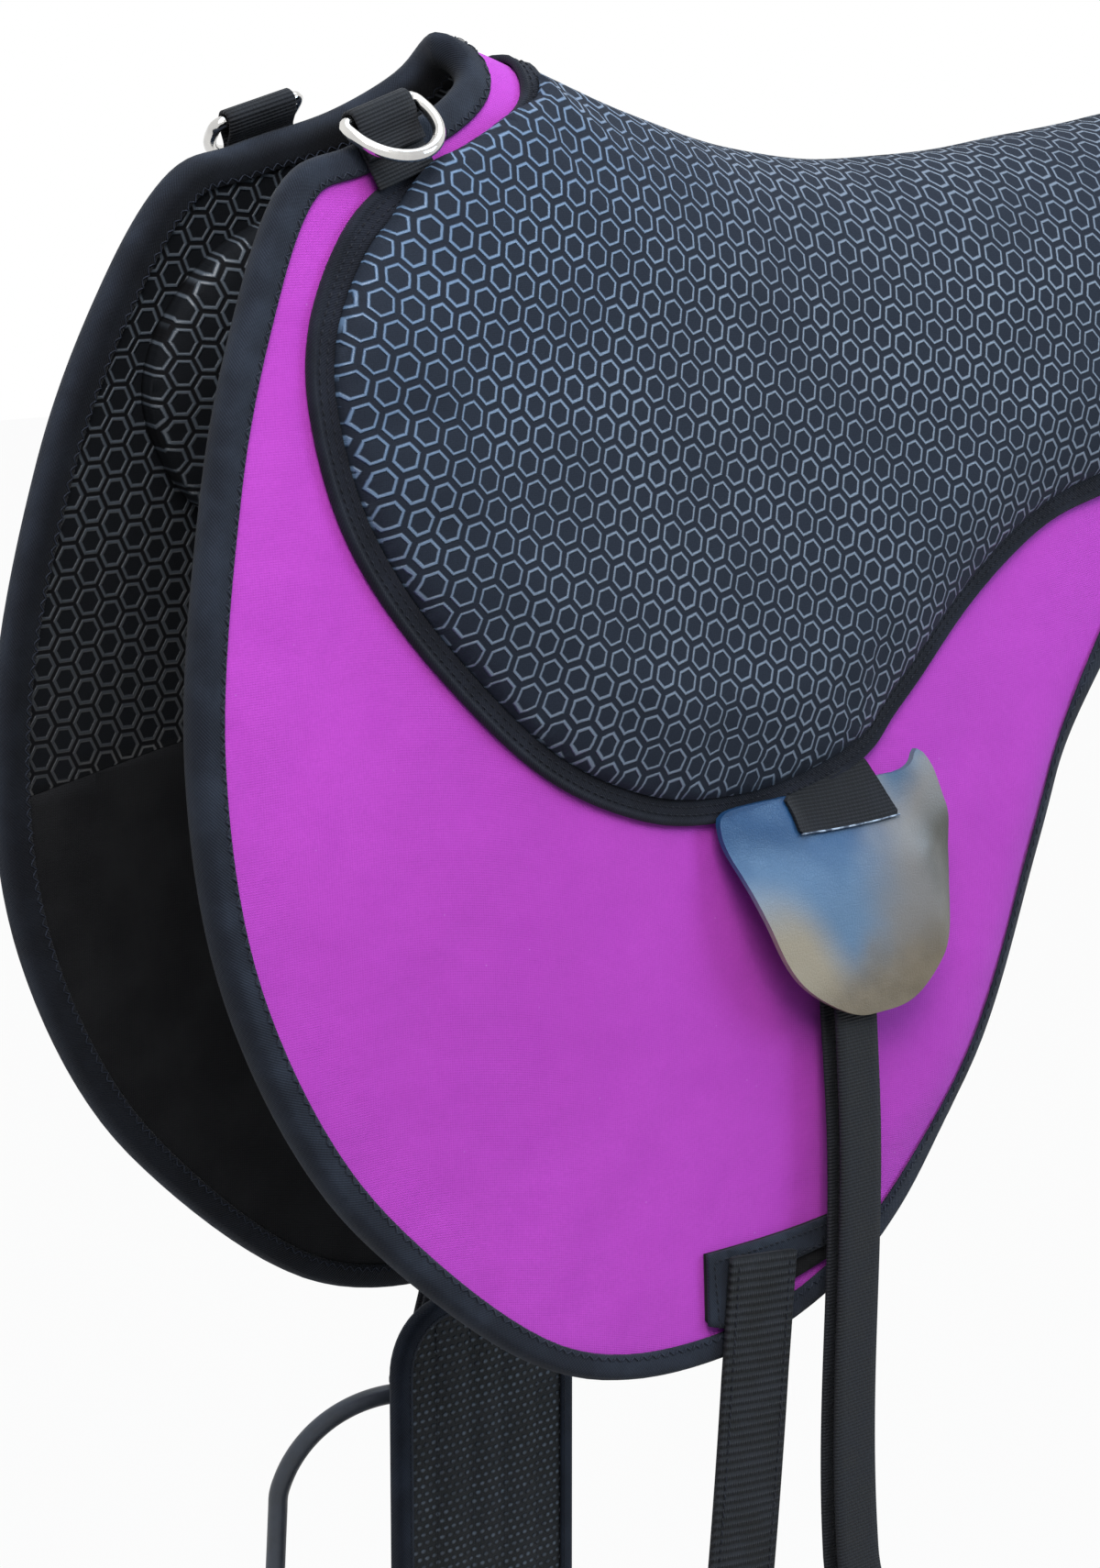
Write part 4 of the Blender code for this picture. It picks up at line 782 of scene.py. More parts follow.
def nickel_bumps(n, tone):
    scratch = n.noise(240.0, 6.0, roughness=0.7)
    n.put(Roughness=n.between(scratch, 0.35, 0.75, 0.07, 0.24))
    return [(scratch, 0.00006, 0.4)]


def steel_bumps(n, tone):
    n.put(Roughness=n.between(tone, 0.3, 0.7, 0.42, 0.56))
    return [(n.noise(1300.0, 2.0), 0.00012, 0.5)]


def rubber_bumps(n, tone):
    return (n.waves(n.parts(n.coordinate("Object"))[0], 0.0036), 0.0009, 0.9), (tone, 0.0002, 0.5)


def wadding():
    n = Nodes("felt_wadding", (0.22, 0.22, 0.22), 0.95, Sheen_Weight=0.2)
    tone = n.noise(400.0, 5.0)
    n.put(Base_Color=n.mix(tone, (0.13, 0.13, 0.13), (0.3, 0.3, 0.3)))
    return n.bump((tone, 0.0006, 0.9))


def edge_bumps(n, tone):
    return [(tone, 0.0003, 0.8)]


PURPLE, LEATHER, MESH, FELT = softshell(), leather(), spacer(), wadding()
RAW = mottled("leather_edge", (0.3, 0.29, 0.3), 0.7, 300.0, 4.0, (0.16, 0.16, 0.18), (0.5, 0.49, 0.5),
              edge_bumps)
CUT = mottled("webbing_edge", (0.3, 0.38, 0.48), 0.6, 260.0, 4.0, (0.05, 0.07, 0.11), (0.46, 0.55, 0.66),
              edge_bumps, 0.4, 0.62)
PLAIN = mottled("plain_lining", (0.006, 0.006, 0.007), 0.8, 30.0, 4.0, (0.006, 0.006, 0.007),
                (0.013, 0.013, 0.014), lining_bumps, Sheen_Weight=0.04, Specular_IOR_Level=0.12)
NICKEL = mottled("polished_nickel", (0.66, 0.65, 0.62), 0.12, 60.0, 3.0, (0.56, 0.55, 0.54),
                 (0.74, 0.73, 0.7), nickel_bumps, Metallic=1.0)
STEEL = mottled("dark_coated_steel", (0.055, 0.062, 0.075), 0.5, 70.0, 4.0, (0.042, 0.048, 0.058),
                (0.072, 0.082, 0.1), steel_bumps)
RUBBER = mottled("moulded_rubber", (0.014, 0.014, 0.014), 0.8, 500.0, 4.0, (0.01, 0.01, 0.01),
                 (0.026, 0.026, 0.026), rubber_bumps)
SEAT_GRIP = grip("seat_grip", 0.0122, radians(-17), 0.0098, 0.0011,
                 ((0.0205, 0.026, 0.0385), (0.019, 0.0235, 0.0345)),
                 ((0.12, 0.194, 0.31), (0.148, 0.188, 0.248), 1.6, -2.4, -0.1, 0.55))
INSIDE_GRIP = grip("inside_grip", 0.0118, pi / 2, 0.0101, 0.0013,
                   ((0.007, 0.008, 0.01), (0.005, 0.005, 0.006)),
                   ((0.08, 0.094, 0.112), (0.034, 0.037, 0.042), 0.6, 3.2, -0.35, -0.95))
TAPE, BAND_TAPE = tape("folded_tape"), tape("seat_band_tape", (0.006, 0.007, 0.011), (0.013, 0.015, 0.023))
WEB = webbing("ribbed_webbing")
BILLET_WEB = webbing("billet_webbing", 0.0034, (0.0035, 0.004, 0.0045), (0.015, 0.016, 0.019), 0.0014)
THREAD = thread("black_thread", (0.009, 0.01, 0.014))
PALE_THREAD = thread("blue_black_thread", (0.016, 0.019, 0.028))


def sewn(name, rows, body, colour, slot, place=lay, radius=0.0003):
    """Rows of stitches, each with its height, as one piece."""
    threads = [stitches(name, *row, height, place, radius) for row, height in rows]
    settle(joined(name, threads), body, [], colour, slot=slot)


# Layers of the pad

PAD_LINE = outline(FLAP, -LENGTH / 2, LENGTH, DROP, 0.004, whole=True)
SEAT_LINE = outline(SEAT, -0.252, 0.552, 0.306, 0.004, whole=True)
PAD_SHORT, SEAT_SHORT = even_line(PAD_LINE, 0.012, True), even_line(SEAT_LINE, 0.012, True)
BAND = BINDING = 0.01
TAPE_THICK, SHEET_THICK = 0.0012, 0.002


def ripple(x, y):
    """Height of the faint waves in the cover, deepest where the binding and the band draw it in."""
    d = np.abs(y)
    wave = (np.sin(x * 88 + d * 31) + np.sin(x * 41 - d * 67 + 1.3) + 0.7 * np.sin(x * 131 + d * 97)) / 2.7
    rim = np.minimum(edge_distance(x, y, PAD_SHORT), edge_distance(x, y, SEAT_SHORT))
    return (0.00016 + 0.00034 * np.exp(-rim / 0.03)) * (wave - 1)


cover = solid("cover_sheet", flat_mesh(PAD_LINE, 0.007), -SHEET_THICK, ripple)
settle(cover, "pad", "outer_cover", PURPLE)

FELT_TOP, LINING_TOP = -0.0024, -0.0076
LINING_LOW = LINING_TOP - SHEET_THICK
core_line = PAD_LINE + inward(PAD_LINE) * 0.0012
core = solid("felt_wadding", flat_mesh(core_line, 0.014), LINING_TOP + GAP, FELT_TOP)
settle(core, "pad", "felt_core", FELT)

SEAM_DROP, SEAM_SLOPE = 0.262, radians(10)
seams_out = {side: np.array((sin(SEAM_SLOPE), side * cos(SEAM_SLOPE))) for side, _ in SIDES}
upper = clipped(clipped(PAD_LINE, (0, SEAM_DROP), seams_out[1]), (0, -SEAM_DROP), seams_out[-1])
lining = solid("grip_lining_sheet", flat_mesh(upper, 0.01), LINING_LOW, LINING_TOP, mirror=True)
settle(lining, "pad", "grip_lining", INSIDE_GRIP)
for side, label in SIDES:
    lower = clipped(PAD_LINE, (0, side * (SEAM_DROP + GAP)), -seams_out[side])
    flap = solid(label + "_lower_lining_sheet", flat_mesh(lower, 0.01), LINING_LOW, LINING_TOP)
    settle(flap, "pad", label + "_lower_lining", PLAIN)

over, under = GAP, -STACK - GAP
middle = (over + under) / 2
binding_half = [
    (BINDING, over + 0.0003), (BINDING - 0.0006, over + TAPE_THICK), (0.0065, over + TAPE_THICK + 0.0003),
    (0.003, over + TAPE_THICK + 0.0004), (0.0006, over + TAPE_THICK - 0.0001), (-0.0009, over - 0.0012),
    (-0.0015, over - 0.0035)]
fold_half = [(0.0, over - 0.0025), (0.0004, over - 0.0008), (0.004, over)]


def flipped(profile):
    """A profile turned over about the middle of the sheets, in the other order."""
    return [(inset, 2 * middle - height) for inset, height in profile[::-1]]


binding_profile = binding_half + flipped(binding_half) + flipped(fold_half) + fold_half
binding = swept("edge_binding_tape", PAD_LINE, binding_profile)
# The binding's under face gets painted shade, darkest at its ends by the pommel arch.
EDGE_TAPE = tape("edge_binding_twill", shaded=(0.06, 0.0235, float(lengths(PAD_LINE)[-1])))
settle(binding, "pad", "edge_binding", EDGE_TAPE)
seam = zigzag(PAD_LINE, BINDING - 0.003, BINDING - 0.0008, 0.0026)
rows = [(seam, over + TAPE_THICK + 0.00035), (seam, under - TAPE_THICK - 0.00035)]
sewn("binding_stitches", rows, "pad", PALE_THREAD, "edge_binding", radius=0.00028)

# Seat

band_profile = (
    (0.0, GAP), (-0.0002, 0.0014), (0.0002, 0.0028), (0.0011, 0.0036), (0.0021, 0.0034), (0.0028, 0.0027),
    (0.0036, 0.0028), (0.006, 0.0031), (0.0085, 0.0036), (0.01, 0.0042), (0.0104, 0.0036), (0.01, 0.002),
    (0.01, GAP))
settle(swept("seat_band_tape", SEAT_LINE, band_profile), "pad", "seat_band", BAND_TAPE)
rows = [(row_of(SEAT_LINE, 0.0043, 0.0036), 0.003), (row_of(SEAT_LINE, 0.0074, 0.0036), 0.0034)]
sewn("seat_stitches", rows, "pad", THREAD, "seat_band")

CROWN, EDGE, ROLL = 0.017, 0.005, 0.034
VALLEY, VALLEY_ROLL = 0.0012, 0.055
inner_seat = SEAT_LINE + inward(SEAT_LINE) * (BAND + GAP)
near_part = clipped(inner_seat, (0, -GAP / 2), (0, 1))


def overlap(x, y):
    """How far the cushion swells over its band at the pommel."""
    swollen = ease((-0.09 - x) / 0.045) * ease((x + 0.212) / 0.04)
    return 0.0112 * swollen * ease((-0.002 - y) / 0.022) * ease((0.135 + y) / 0.035)


bulged = even_line(near_part, 0.005, True)
bulged = bulged - inward(bulged) * overlap(*bulged.T)[:, None]
cushion_line = even_line(bulged, 0.005, True)
open_edge = even_line(np.array([p for p in cushion_line if p[1] < -0.0008]), 0.01)


def cushion_top(x, y):
    front = ease((-0.06 - x) / 0.06) * ease((0.06 + y) / 0.05)
    rim = np.minimum(edge_distance(x, y, open_edge, closed=False) / (ROLL + 0.012 * front), 1)
    low_edge, high = EDGE - 0.003 * front, CROWN - 0.0025 * front
    crown = low_edge + (high - low_edge) * np.sqrt(1 - (1 - rim) ** 2)
    valley = VALLEY + (CROWN - VALLEY) * ease(-y / VALLEY_ROLL)
    wave = np.sin(x * 57 - y * 38) * np.sin(x * 23 + y * 71 + 0.8)
    return np.minimum(crown, valley) + 0.0005 * wave * rim + 0.36 * overlap(x, y) * (1 - rim)


def cushion_low(x, y):
    """The under side, lifted over the band where the cushion swells past it."""
    rim = np.minimum(edge_distance(x, y, open_edge, closed=False) / 0.014, 1)
    return GAP + 0.0044 * np.minimum(overlap(x, y) / 0.004, 1) * (1 - rim) ** 0.5


def level(uv):
    """Runs the weave level with the ground instead of along the dip of the spine."""
    return uv + np.stack((0 * uv[:, 0], spine_height(uv[:, 0])), -1)


def cushions(kind, line, pitch, low, high, blown, nodes, materials, weave=None):
    """A near cushion, with its upper (0) or lower (1) face blown up, and its mirror for the off side."""
    flat = flat_mesh(line, pitch, rings=(0.003,))
    count, rim = len(flat[0]), {v for pair in flat[2] for v in pair}
    base = count + 2 * len(rim)
    first = base if blown else 0
    held = [k for k in range(base + count) if not first <= k < first + count or k - first in rim]
    near_piece = puff(solid("near_" + kind, flat, low, high, walls=3, edge_slot=1, mirror=True), held)
    far_piece = added("off_" + kind, near_piece.data.copy())
    set_points(far_piece, points_of(far_piece) * (1, -1, 1))
    far_piece.data.flip_normals()
    for piece, (_, label) in zip((near_piece, far_piece), SIDES):
        if weave:
            change_uvs(piece, weave)
        settle(piece, "pad", [label + node for node in nodes], *materials)


cushions("seat_cushion", cushion_line, 0.006, cushion_low, cushion_top, 0, ("_seat_cover", "_seat_foam"),
         (SEAT_GRIP, BAND_TAPE), level)

# Panels under the pad

panel_line = outline(PANEL, -0.254, 0.546, 0.225, 0.005, closed=True)
panel_short = even_line(panel_line, 0.01, True)


def panel_low(x, y):
    rim = np.minimum(edge_distance(x, y, panel_short) / 0.02, 1)
    return under - 0.006 - 0.007 * np.sqrt(1 - (1 - rim) ** 2)


cushions("panel_pad", panel_line, 0.008, panel_low, under, 1, ("_panel",), (INSIDE_GRIP, PLAIN))

# Front rings on their webbing

X_AXIS = Vector((1, 0, 0))
WEB_THICK, WIRE = 0.0016, 0.0025
foot, above = at(-0.197, 0.078), at(-0.197, 0.068)
up = (above - foot).normalized()
out = X_AXIS.cross(up).normalized()
lean = Matrix.Rotation(radians(-6), 3, X_AXIS)
up, out = lean @ up, lean @ out
tilt = Matrix.Rotation(radians(17), 3, out)
wide, up = tilt @ X_AXIS, tilt @ up
bar = Vector((-0.204017, -0.035073, 0.024387))
hang = Matrix.Rotation(radians(-32), 3, wide)
fold, closed_at = WIRE + GAP + WEB_THICK / 2, WEB_THICK / 2 + GAP / 2
dee_path = [(-0.0265, -closed_at), (-0.009, -closed_at), (-fold, -fold * 0.9)]
dee_path += arc((0, 0), fold, -pi / 2 + 0.35, pi / 2 - 0.35, 16)
dee_path += [(-fold, fold * 0.9), (-0.009, closed_at), (-0.0155, closed_at)]
DEE_HALF, DEE_CORNER = 0.0164, 0.0028
bow = [(-DEE_HALF, 0), (DEE_HALF, 0)] + arc((DEE_HALF, -DEE_CORNER), DEE_CORNER, pi / 2, 0, 5)[1:]
bow += arc((0, -0.0058), 0.0192, 0, -pi, 36)[1:-1]
bow += arc((-DEE_HALF, -DEE_CORNER), DEE_CORNER, pi, pi / 2, 5)
for side, label in SIDES:
    roll = strap(label + "_dee_webbing", bent(bar, up, out, dee_path, 0.0012, side), mirrored(wide, side),
                 0.031, WEB_THICK)
    settle(roll, "pad", label + "_dee_tab", WEB)
    ring = tube(label + "_dee_bow", bent(bar, wide, hang @ up, bow, 0.0015, side, True), WIRE,
                mirrored(hang @ out, side), closed=True)
    settle(ring, label + "_dee", label + "_dee_ring", NICKEL)

# Leather tab and hanger webbing

TAB_X, TAB_DROP, TAB_HEIGHT, TAB_TUCK = -0.012, 0.306 * 0.9297, 0.09, 0.006
tab_turn, tab_skew = radians(12), radians(9)
tab_wide = np.array((cos(tab_turn), sin(tab_turn)))
tab_down = np.array((sin(tab_turn), -cos(tab_turn)))
tab_origin = np.array((TAB_X, -TAB_DROP))


def tab_points(points):
    points = np.asarray(points, float)
    return tab_origin + points[:, :1] * tab_wide + points[:, 1:] * tab_down


def tab_height(x, y, side):
    """Height of the leather's back: sewn in under the band in the middle, over it at both corners."""
    offset = np.stack((x, y), -1) - tab_origin
    along, down = offset @ tab_wide, offset @ tab_down
    depth = np.maximum(down + sin(tab_skew) * along + TAB_TUCK, 0)
    rise = np.sin(pi / 2 * np.minimum(depth / 0.048, 1))
    left = ease((-0.004 - along) / 0.016) * ease((0.02 - down) / 0.022)
    right = ease((along - 0.04) / 0.018) * ease((0.024 - down) / 0.036)
    lift = 0.0066 * left + 0.01 * right + 0.0045 * ease((along - 0.01) / 0.045) * ease(down / 0.03)
    turned = 0.006 * ease((along - 0.044) / 0.022) * ease((down - 0.012) / 0.02)
    flare = 0.001 if side < 0 else 0.0115
    return -0.0016 + lift - turned + 0.0185 * rise + flare * depth / TAB_HEIGHT


def tab_grain(first, second):
    """Runs the weave or grain of a piece along two ways in the tab."""
    return lambda uv: (uv - tab_origin) @ np.stack((first, second), -1)


leather_line = even_line(tab_points(smooth_line([
    (-0.0538, 0.0022), (-0.056, 0.0075), (-0.0555, 0.016), (-0.05, 0.044), (-0.0385, 0.068),
    (-0.014, 0.0832), (0.005, 0.0862), (0.027, 0.0838), (0.049, 0.066), (0.062, 0.04),
    (0.0662, 0.02), (0.0666, 0.005), (0.066, -0.006), (0.0645, -0.0115), (0.0622, -0.012),
    (0.0585, -0.0092), (0.0545, -0.0068), (0.05, -0.0054), (0.042, -0.005), (0.01, -0.0045),
    (-0.018, -0.004), (-0.032, -0.003), (-0.048, -0.0008)], 8, closed=True)), 0.003, True)
STRIP_LEFT, STRIP_RIGHT, STRIP_END = -0.015, 0.042, 0.0102
strip_line = even_line(tab_points([(STRIP_LEFT, -0.003), (STRIP_LEFT, STRIP_END), (STRIP_RIGHT, STRIP_END),
                                   (STRIP_RIGHT, -0.0138)]), 0.003, True)
cut = tab_points([(a, STRIP_END + 0.0002) for a in np.linspace(STRIP_LEFT, STRIP_RIGHT, 30)])
leather_flat = flat_mesh(leather_line, 0.004, rings=(0.0007, 0.002))
strip_flat = flat_mesh(strip_line, 0.004)
SKIN, SHARP = 0.0025, radians(50)
for side, label in SIDES:

    def back(x, y, rise=0.0, side=side):
        return tab_height(x, y, side) + rise

    skin = solid(label + "_leather_flap", leather_flat, back, lambda x, y: back(x, y, SKIN), laid(side),
                 walls=3, edge_slot=1)
    skin.data.set_sharp_from_angle(angle=SHARP)
    change_uvs(skin, tab_grain(tab_wide, tab_down))
    settle(skin, label + "_tab", label + "_leather_tab", LEATHER, RAW)
    strip = solid(label + "_hanger_strip", strip_flat, lambda x, y: back(x, y, SKIN + GAP),
                  lambda x, y: back(x, y, SKIN + GAP + WEB_THICK), laid(side), edge_slot=1)
    strip.data.set_sharp_from_angle(angle=SHARP)
    change_uvs(strip, tab_grain(tab_down, tab_wide))
    settle(strip, label + "_tab", label + "_hanger_webbing", WEB, CUT)
    singed = laid(side)(*cut.T, back(*cut.T, SKIN + GAP + WEB_THICK))
    singed = tube(label + "_hanger_cut_edge", singed, 0.0004,
                  laid(side)(*tab_origin, 1.0) - laid(side)(*tab_origin, 0.0), sides=8)
    settle(singed, label + "_tab", [], CUT, slot=label + "_hanger_webbing")

# Stirrup loops, rings, straps and stirrups

loop_top, loop_low = at(-0.004, TAB_DROP + 0.001), at(-0.004, TAB_DROP + 0.0245)
loop_down = (loop_low - loop_top).normalized()
loop_out = X_AXIS.cross(-loop_down).normalized()
RING_RUN, RING_OUT = 0.02267, 0.00839
loop_bar = loop_top + loop_down * RING_RUN + loop_out * RING_OUT
hung_from = loop_bar + loop_down * 0.00083 + loop_out * 0.00021
single = GAP + WEB_THICK / 2
double = single + WEB_THICK + GAP
loop_path = [(0.0062, single), (0.009, single), (RING_RUN - fold, RING_OUT - fold * 0.95)]
loop_path += arc((RING_RUN, RING_OUT), fold, -pi / 2 + 0.3, pi / 2 - 0.3, 16)
loop_path += [(RING_RUN - fold, RING_OUT + fold * 0.95), (0.009, double), (0.0062, double)]
ring_path = [(-0.0192, 0), (0.0192, 0)] + arc((0, 0), 0.0227, 0.18, pi - 0.18, 30)
eye_path = rounded(0.0155, 0, -0.0135, 0.0031, 6)
STRAP, STRAP_THICK, PLY, STRAP_TOP = 0.0245, 0.0025, 0.0042, (0.022 ** 2 - 0.011 ** 2) ** 0.5 - 4 * GAP
KEEPER_WEB, KEEPER_DROP = 0.0016, 0.03
half_wide = STRAP / 2 + GAP + KEEPER_WEB / 2
half_deep = PLY + (STRAP_THICK + KEEPER_WEB) / 2 + GAP
keeper_path = rounded(half_wide, half_deep, -half_deep, 0.0016, 5)
CREST, ARCH, TREAD = 0.0162, 0.057, (0.098, 0.036, 0.01)
spring_line, foot_line = -CREST - ARCH, -CREST - 0.128
arch = [(0.0445, foot_line)] + arc((0, spring_line), ARCH, 0, pi, 48) + [(-0.0445, foot_line)]
arch = smooth_line(even_line(arch, 0.008), 3)


def swayed(share):
    """Sideways bow of the doubled strap, by the share of its length, even where the keeper slides."""
    return (0.007 * ease(share / 0.085) - 0.015 * ease((share - 0.24) / 0.6)
            + 0.008 * ease((share - 0.86) / 0.14))


def tread_bar(axes, side):
    """The bar under the tread pad, as an object."""
    mesh = bmesh.new()
    bmesh.ops.create_cube(mesh, size=1.0)
    bmesh.ops.scale(mesh, vec=TREAD, verts=mesh.verts[:])
    bmesh.ops.bevel(mesh, geom=mesh.edges[:], offset=0.003, segments=3, affect="EDGES")
    mesh.transform(Matrix.Diagonal((1, -side, 1, 1)) @ axes)
    bmesh.ops.recalc_face_normals(mesh, faces=mesh.faces[:])
    data = bpy.data.meshes.new("tread")
    mesh.to_mesh(data)
    mesh.free()
    data.shade_smooth()
    data.set_sharp_from_angle(angle=SHARP)
    data.uv_layers.new(name="UVMap")
    return added("tread", data)


# Lean outwards, swing forward, length and twist of each strap
STRAPS = {-1: (radians(5), 0.0, 0.314, 0.0), 1: (radians(10), radians(8.3), 0.247, radians(-28))}
for side, label in SIDES:
    angle, forward, length, twist = STRAPS[side]
    loop = strap(label + "_loop_webbing", bent(loop_top, loop_down, loop_out, loop_path, 0.0012, side),
                 X_AXIS, 0.033, WEB_THICK)
    settle(loop, "pad", label + "_stirrup_loop", WEB)
    flat_down, face = Vector((0, -sin(angle), -cos(angle))), Vector((0, -cos(angle), sin(angle)))
    swing = Matrix.Rotation(-forward, 3, face)
    down, width = swing @ flat_down, swing @ X_AXIS
    ring = tube(label + "_ring_bow", bent(loop_bar, X_AXIS, flat_down, ring_path, 0.0015, side, True), WIRE,
                mirrored(face, side), closed=True)
    settle(ring, label + "_ring", label + "_stirrup_ring", NICKEL)
    top = hung_from + down * STRAP_TOP
    run = [(0, -PLY), (length, -PLY)] + arc((length, 0), PLY, -pi / 2, pi / 2, 12)[1:-1]
    run += [(length, PLY), (0, PLY)] + arc((0, 0), PLY, pi / 2, 1.5 * pi, 12)[1:-1]
    run = even_line(run, 0.004, True)
    run[:, 1] -= np.sign(run[:, 1]) * 0.0009 * np.sin(run[:, 0] / length * pi) ** 2
    belt = strap(label + "_strap_webbing", in_plane(top, down, face, run), width, STRAP, STRAP_THICK, True)
    axis, arm = np.array(down), points_of(belt) - np.array(top)
    sag = (lambda share: swayed(np.clip(share, 0, 1))) if side < 0 else (lambda share: 0.0 * share)
    share = arm @ axis / length
    straight = (arm @ axis)[:, None] * axis
    spin = twist * ease((share - 0.3) / 0.7)[:, None]
    arm = straight + (arm - straight) * np.cos(spin) + np.cross(axis, arm - straight) * np.sin(spin)
    set_points(belt, mirrored(np.array(top) + arm + sag(share)[:, None] * np.array(width), side))
    if side > 0:
        belt.data.flip_normals()
    settle(belt, label + "_strap", label + "_stirrup_strap", WEB)
    keeper_at = top + down * KEEPER_DROP + width * float(sag(KEEPER_DROP / length))
    keeper = strap(label + "_keeper_webbing", bent(keeper_at, width, face, keeper_path, 0.0012, side, True),
                   mirrored(down, side), 0.01, KEEPER_WEB, closed=True)
    settle(keeper, label + "_keeper", label + "_strap_keeper", WEB)
    turned = Matrix.Rotation(twist, 3, down)
    place = top + down * length
    s_out, s_wide = turned @ face, turned @ width
    axes = Matrix((s_wide, s_out, down)).transposed().to_4x4()
    axes.translation = place - down * foot_line
    parts = [tube(label + "_stirrup_rod", in_plane(place, s_wide, -down, arch, side), 0.0045,
                  mirrored(s_out, side), sides=18),
             tube("eye", bent(place, s_wide, -down, eye_path, 0.0012, side, True), 0.0026,
                  mirrored(s_out, side), closed=True),
             tread_bar(axes, side)]
    settle(joined(label + "_stirrup_iron", parts), label + "_iron", label + "_stirrup", STEEL)
    dress(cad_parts[label + "_tread_pad"], RUBBER)

# Girth patches and billets

patch_start = np.array((-0.076, -0.478))
patch_end = patch_start + (0.074, 0.022)
front_low = patch_start + (0, -0.03)
across = (patch_end - patch_start) / np.linalg.norm(patch_end - patch_start)
depth = np.array((across[1], -across[0])) * 0.011
corner = patch_start + depth + (0.011, 0)
patch_line = np.array([patch_start, front_low, patch_end + (0, -0.018), patch_end])
tape_line = np.array([patch_start, front_low, front_low + (0.011, 0), corner, patch_end + depth, patch_end])
patch_flat = flat_mesh(even_line(patch_line, 0.004, True), 0.006)
tape_flat = flat_mesh(even_line(tape_line, 0.003, True), 0.005)
outer_row = (corner + (-0.0085, -0.02), corner - depth * 0.75 + (-0.0085, 0.0), patch_end + depth * 0.25)
inner_row = (corner + (-0.0025, -0.02), corner + (-0.0025, -0.001), patch_end + depth * 0.8)
tape_rows = [(row_of(np.array(row), 0, 0.0034, False), 0.0031) for row in (outer_row, inner_row)]
for side, label in SIDES:
    patch = solid(label + "_patch_cloth", patch_flat, GAP, 0.0015, laid(side))
    settle(patch, "pad", label + "_girth_patch", PLAIN)
    settle(solid(label + "_patch_binding", tape_flat, 0.0018, 0.003, laid(side)), "pad", label + "_patch_tape",
           TAPE)
    sewn(label + "_patch_stitches", tape_rows, "pad", THREAD, label + "_patch_tape", laid(side))

BILLET, BILLET_THICK, BILLET_LENGTH, BILLET_CHAMFER = 0.038, 0.002, 0.168, 0.012
root = at(-0.046, 0.474, 0.0048)
tip = radians(2.2)
face = Vector((0, -cos(tip), sin(tip)))
lean = Matrix.Rotation(radians(-7), 3, face)
down, width = lean @ Vector((0, -sin(tip), -cos(tip))), lean @ X_AXIS
half, end = BILLET / 2, BILLET_LENGTH
billet_line = [(-half, BILLET_CHAMFER - end), (BILLET_CHAMFER - half, -end), (half - BILLET_CHAMFER, -end),
               (half, BILLET_CHAMFER - end), (half, 0.0), (-half, 0.0)]
billet_line = even_line(billet_line, 0.003, True)


def billet_place(x, y, height):
    x, y, height = spread(x, y, height)
    bow = 0.0012 * np.sin(-y / BILLET_LENGTH * pi)
    dish = 0.001 * (x / (BILLET / 2)) ** 2 * np.clip(-y / 0.05, 0, 1)
    return (np.array(root) + x[..., None] * np.array(width) - y[..., None] * np.array(down)
            + (height + bow - dish)[..., None] * np.array(face))


billet = solid("near_billet_strap", flat_mesh(billet_line, 0.006), -0.001, 0.001, billet_place)
change_uvs(billet, lambda uv: uv[:, ::-1])
settle(billet, "billet", "near_billet", BILLET_WEB)
rows = [(row_of(np.array([(x, -0.004), (x, 0.01 - end)]), 0, 0.0038, False), 0.0011)
        for x in (0.004 - half, half - 0.004)]
sewn("near_billet_stitches", rows, "billet", THREAD, "near_billet", billet_place)

# Girth

GIRTH, GIRTH_HALF, GIRTH_THICK = 0.5, 0.0525, 0.004
girth_root = np.array((-0.046, 0.0865, -0.4905))
girth_line = even_line(rounded(GIRTH_HALF, 0, -GIRTH, 0.03, 10), 0.004, True)
inner_line = girth_line + inward(girth_line) * 0.0013
channels = np.array((-0.03, -0.01, 0.01, 0.03))


def girth_place(x, y, height):
    x, y, height = spread(x, y, height)
    return girth_root + np.stack((x, height, y), -1)


def swell(x, y):
    """Height of the padding: thinner at the rim and pressed in along the channels."""
    roll = np.minimum(edge_distance(x, y, inner_line) / 0.026, 1)
    nearest = np.min(np.abs(x[:, None] - channels[None, :]), axis=1)
    inside = np.clip(-y / 0.02, 0, 1) * np.clip((GIRTH + y) / 0.02, 0, 1)
    return GIRTH_THICK * (0.6 + 0.4 * roll) - 0.0011 * np.exp(-(nearest / 0.0022) ** 2) * inside


girth_pad = solid("girth_padding", flat_mesh(inner_line, 0.0045), lambda x, y: -swell(x, y), swell,
                  girth_place)
settle(girth_pad, "girth", "girth_pad", MESH)
edge = GIRTH_THICK * (0.6 + 0.4 * 0.008 / 0.02625) + GAP
outer_half = [(0.008, edge), (0.0079, edge + 0.0008), (0.0066, edge + 0.001), (0.0028, edge + 0.001),
              (0.0008, edge + 0.0004), (0.0, edge * 0.5)]
inner_half = [(0.0011, edge * 0.6), (0.002, edge)]
girth_profile = outer_half + [(a, -b) for a, b in (inner_half + outer_half)[::-1]] + inner_half
settle(swept("girth_edge_tape", girth_line, girth_profile, girth_place), "girth", "girth_binding", TAPE)
rim_row = row_of(girth_line, 0.0062, 0.004)
rows = [(rim_row, edge + 0.0011), (rim_row, -edge - 0.0011)]
for x in channels:
    row = row_of(np.array([(x, -0.012), (x, 0.012 - GIRTH)]), 0, 0.0042, False)
    rows += [(row, 0.0031), (row, -0.0031)]
sewn("girth_stitches", rows, "girth", THREAD, "girth_binding", girth_place)

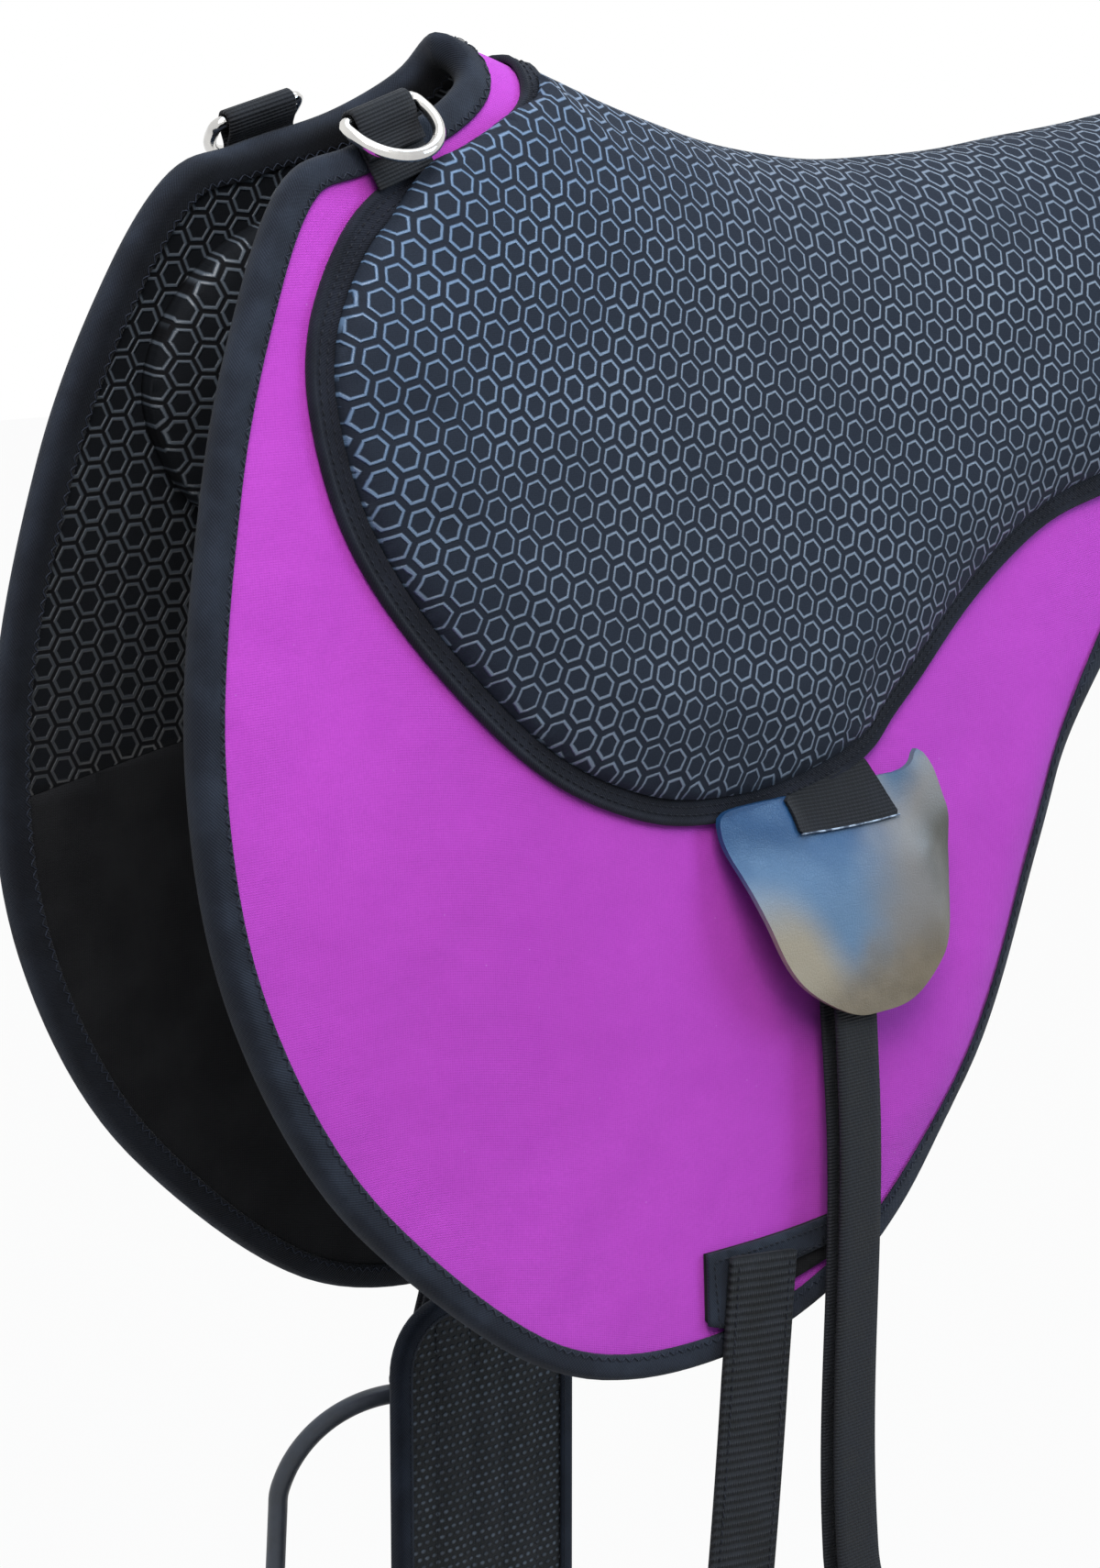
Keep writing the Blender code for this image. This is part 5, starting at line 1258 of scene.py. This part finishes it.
UP, OUT, BUCKLE, BUCKLE_HALF = (0, 0, 1), (0, 1, 0), 0.028, 0.0255
fold = WIRE + GAP + BILLET_THICK / 2
run = edge + 0.001 + GAP + BILLET_THICK / 2
bar_out, top_y = run + fold, 0.004 + fold
low_y = -GIRTH - top_y
back = run + BILLET_THICK + GAP
path = [(top_y - 0.034, back), (top_y - 4 * fold, back)]
path += arc((top_y, bar_out), fold, pi / 2 + 0.3, -pi / 2, 14)
path += arc((low_y, bar_out), fold, -pi / 2, -1.5 * pi - 0.3, 14)
path += [(low_y + 4 * fold, back), (low_y + 0.034, back)]
web = strap("girth_strap", bent(girth_root, UP, OUT, path, 0.0018), X_AXIS, BILLET, BILLET_THICK)
settle(web, "girth", "girth_webbing", BILLET_WEB)
for label, carrier, centre_y, reach in (("off", "pad", top_y, 1), ("near", "low_buckle", low_y, -1)):
    frame_path = bent(girth_root + (0, bar_out, centre_y), X_AXIS, (0, 0, reach),
                      rounded(BUCKLE_HALF, BUCKLE, 0, 0.005, 8), 0.0015, closed=True)
    buckle = tube(label + "_buckle_frame", frame_path, WIRE, OUT, closed=True)
    settle(buckle, carrier, label + "_girth_buckle", NICKEL)
    dress(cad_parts[label + "_buckle_tongue"], NICKEL)

bar_point = girth_root + (0, bar_out, top_y)
front = WIRE + 3 * GAP + 1.5 * BILLET_THICK
path = [(root.z - bar_point[2], -root.y - bar_point[1]), (BUCKLE + WIRE, -fold - GAP),
        (BUCKLE - WIRE, -fold - GAP), (WIRE, front), (-2 * WIRE, front + GAP)]
billet = strap("off_billet_strap", bent(bar_point, UP, OUT, path, 0.002), X_AXIS, BILLET, BILLET_THICK)
settle(billet, "pad", "off_billet", BILLET_WEB)

# Studio

FAR, FLOOR = 9, -1.06
floor_data = bpy.data.meshes.new("floor")
floor_data.from_pydata([(-FAR, -FAR, FLOOR), (FAR, -FAR, FLOOR), (FAR, FAR, FLOOR), (-FAR, FAR, FLOOR)], [],
                       [(0, 1, 2, 3)])
floor = added("floor", floor_data)
n = Nodes("pale_floor", (0.28, 0.275, 0.27), 0.9)
lit = n.new("MixShader", {0: n.times(n.seen(), 0.96), 1: n.shader.outputs[0], 2: n.new("Emission")})
n.feed(n.tree.nodes["Material Output"].inputs[0], lit)
dress(floor, n.material)

world = bpy.data.worlds.new("studio")
world.use_nodes = True
scene.world = world
n = Graph(world.node_tree)
height = n.between(n.parts(n.coordinate("Generated"))["Z"], -0.1, 0.5, smooth=False)
sky = n.mix(height, (0.2, 0.195, 0.19), (0.78, 0.95, 1.18))
light = n.new("Background", {"Color": sky, "Strength": 0.46})
white = n.new("Background", {"Color": (1, 1, 1, 1)})
n.feed(n.tree.nodes["World Output"].inputs[0], n.new("MixShader", {0: n.seen(), 1: light, 2: white}))


def lamp(name, place, target, size, power, colour):
    data = bpy.data.lights.new(name, "AREA")
    data.shape = "RECTANGLE"
    data.size, data.size_y = size
    data.energy = power
    data.color = colour
    light = added(name, data)
    light.location = place
    light.rotation_euler = (Vector(target) - Vector(place)).to_track_quat("-Z", "Y").to_euler()


lamp("key", (-1.05, -1.3, 1.35), (0, 0, -0.05), (1.2, 1.2), 40, (1, 0.98, 0.97))
lamp("top", (0.2, -0.3, 2.0), (0, 0, 0), (2.2, 1.5), 26, (0.72, 0.87, 1))
lamp("fill", (1.75, -1.75, 0.8), (0, 0, -0.15), (1.0, 1.1), 24, (0.6, 0.82, 1))

camera_data = bpy.data.cameras.new("camera")
camera_data.lens = 82.105
camera_data.sensor_width = 36
camera = added("camera", camera_data)
right, upward, back = (0.7314, -0.682, 0), (0.1301, 0.1395, 0.9816), (-0.6695, -0.7179, 0.1908)
facing = Matrix((right, upward, back)).transposed().to_4x4()
facing.translation = (-1.0611, -1.0462, 0.0323)
camera.matrix_world = facing
scene.camera = camera
scene.view_settings.view_transform = "Standard"
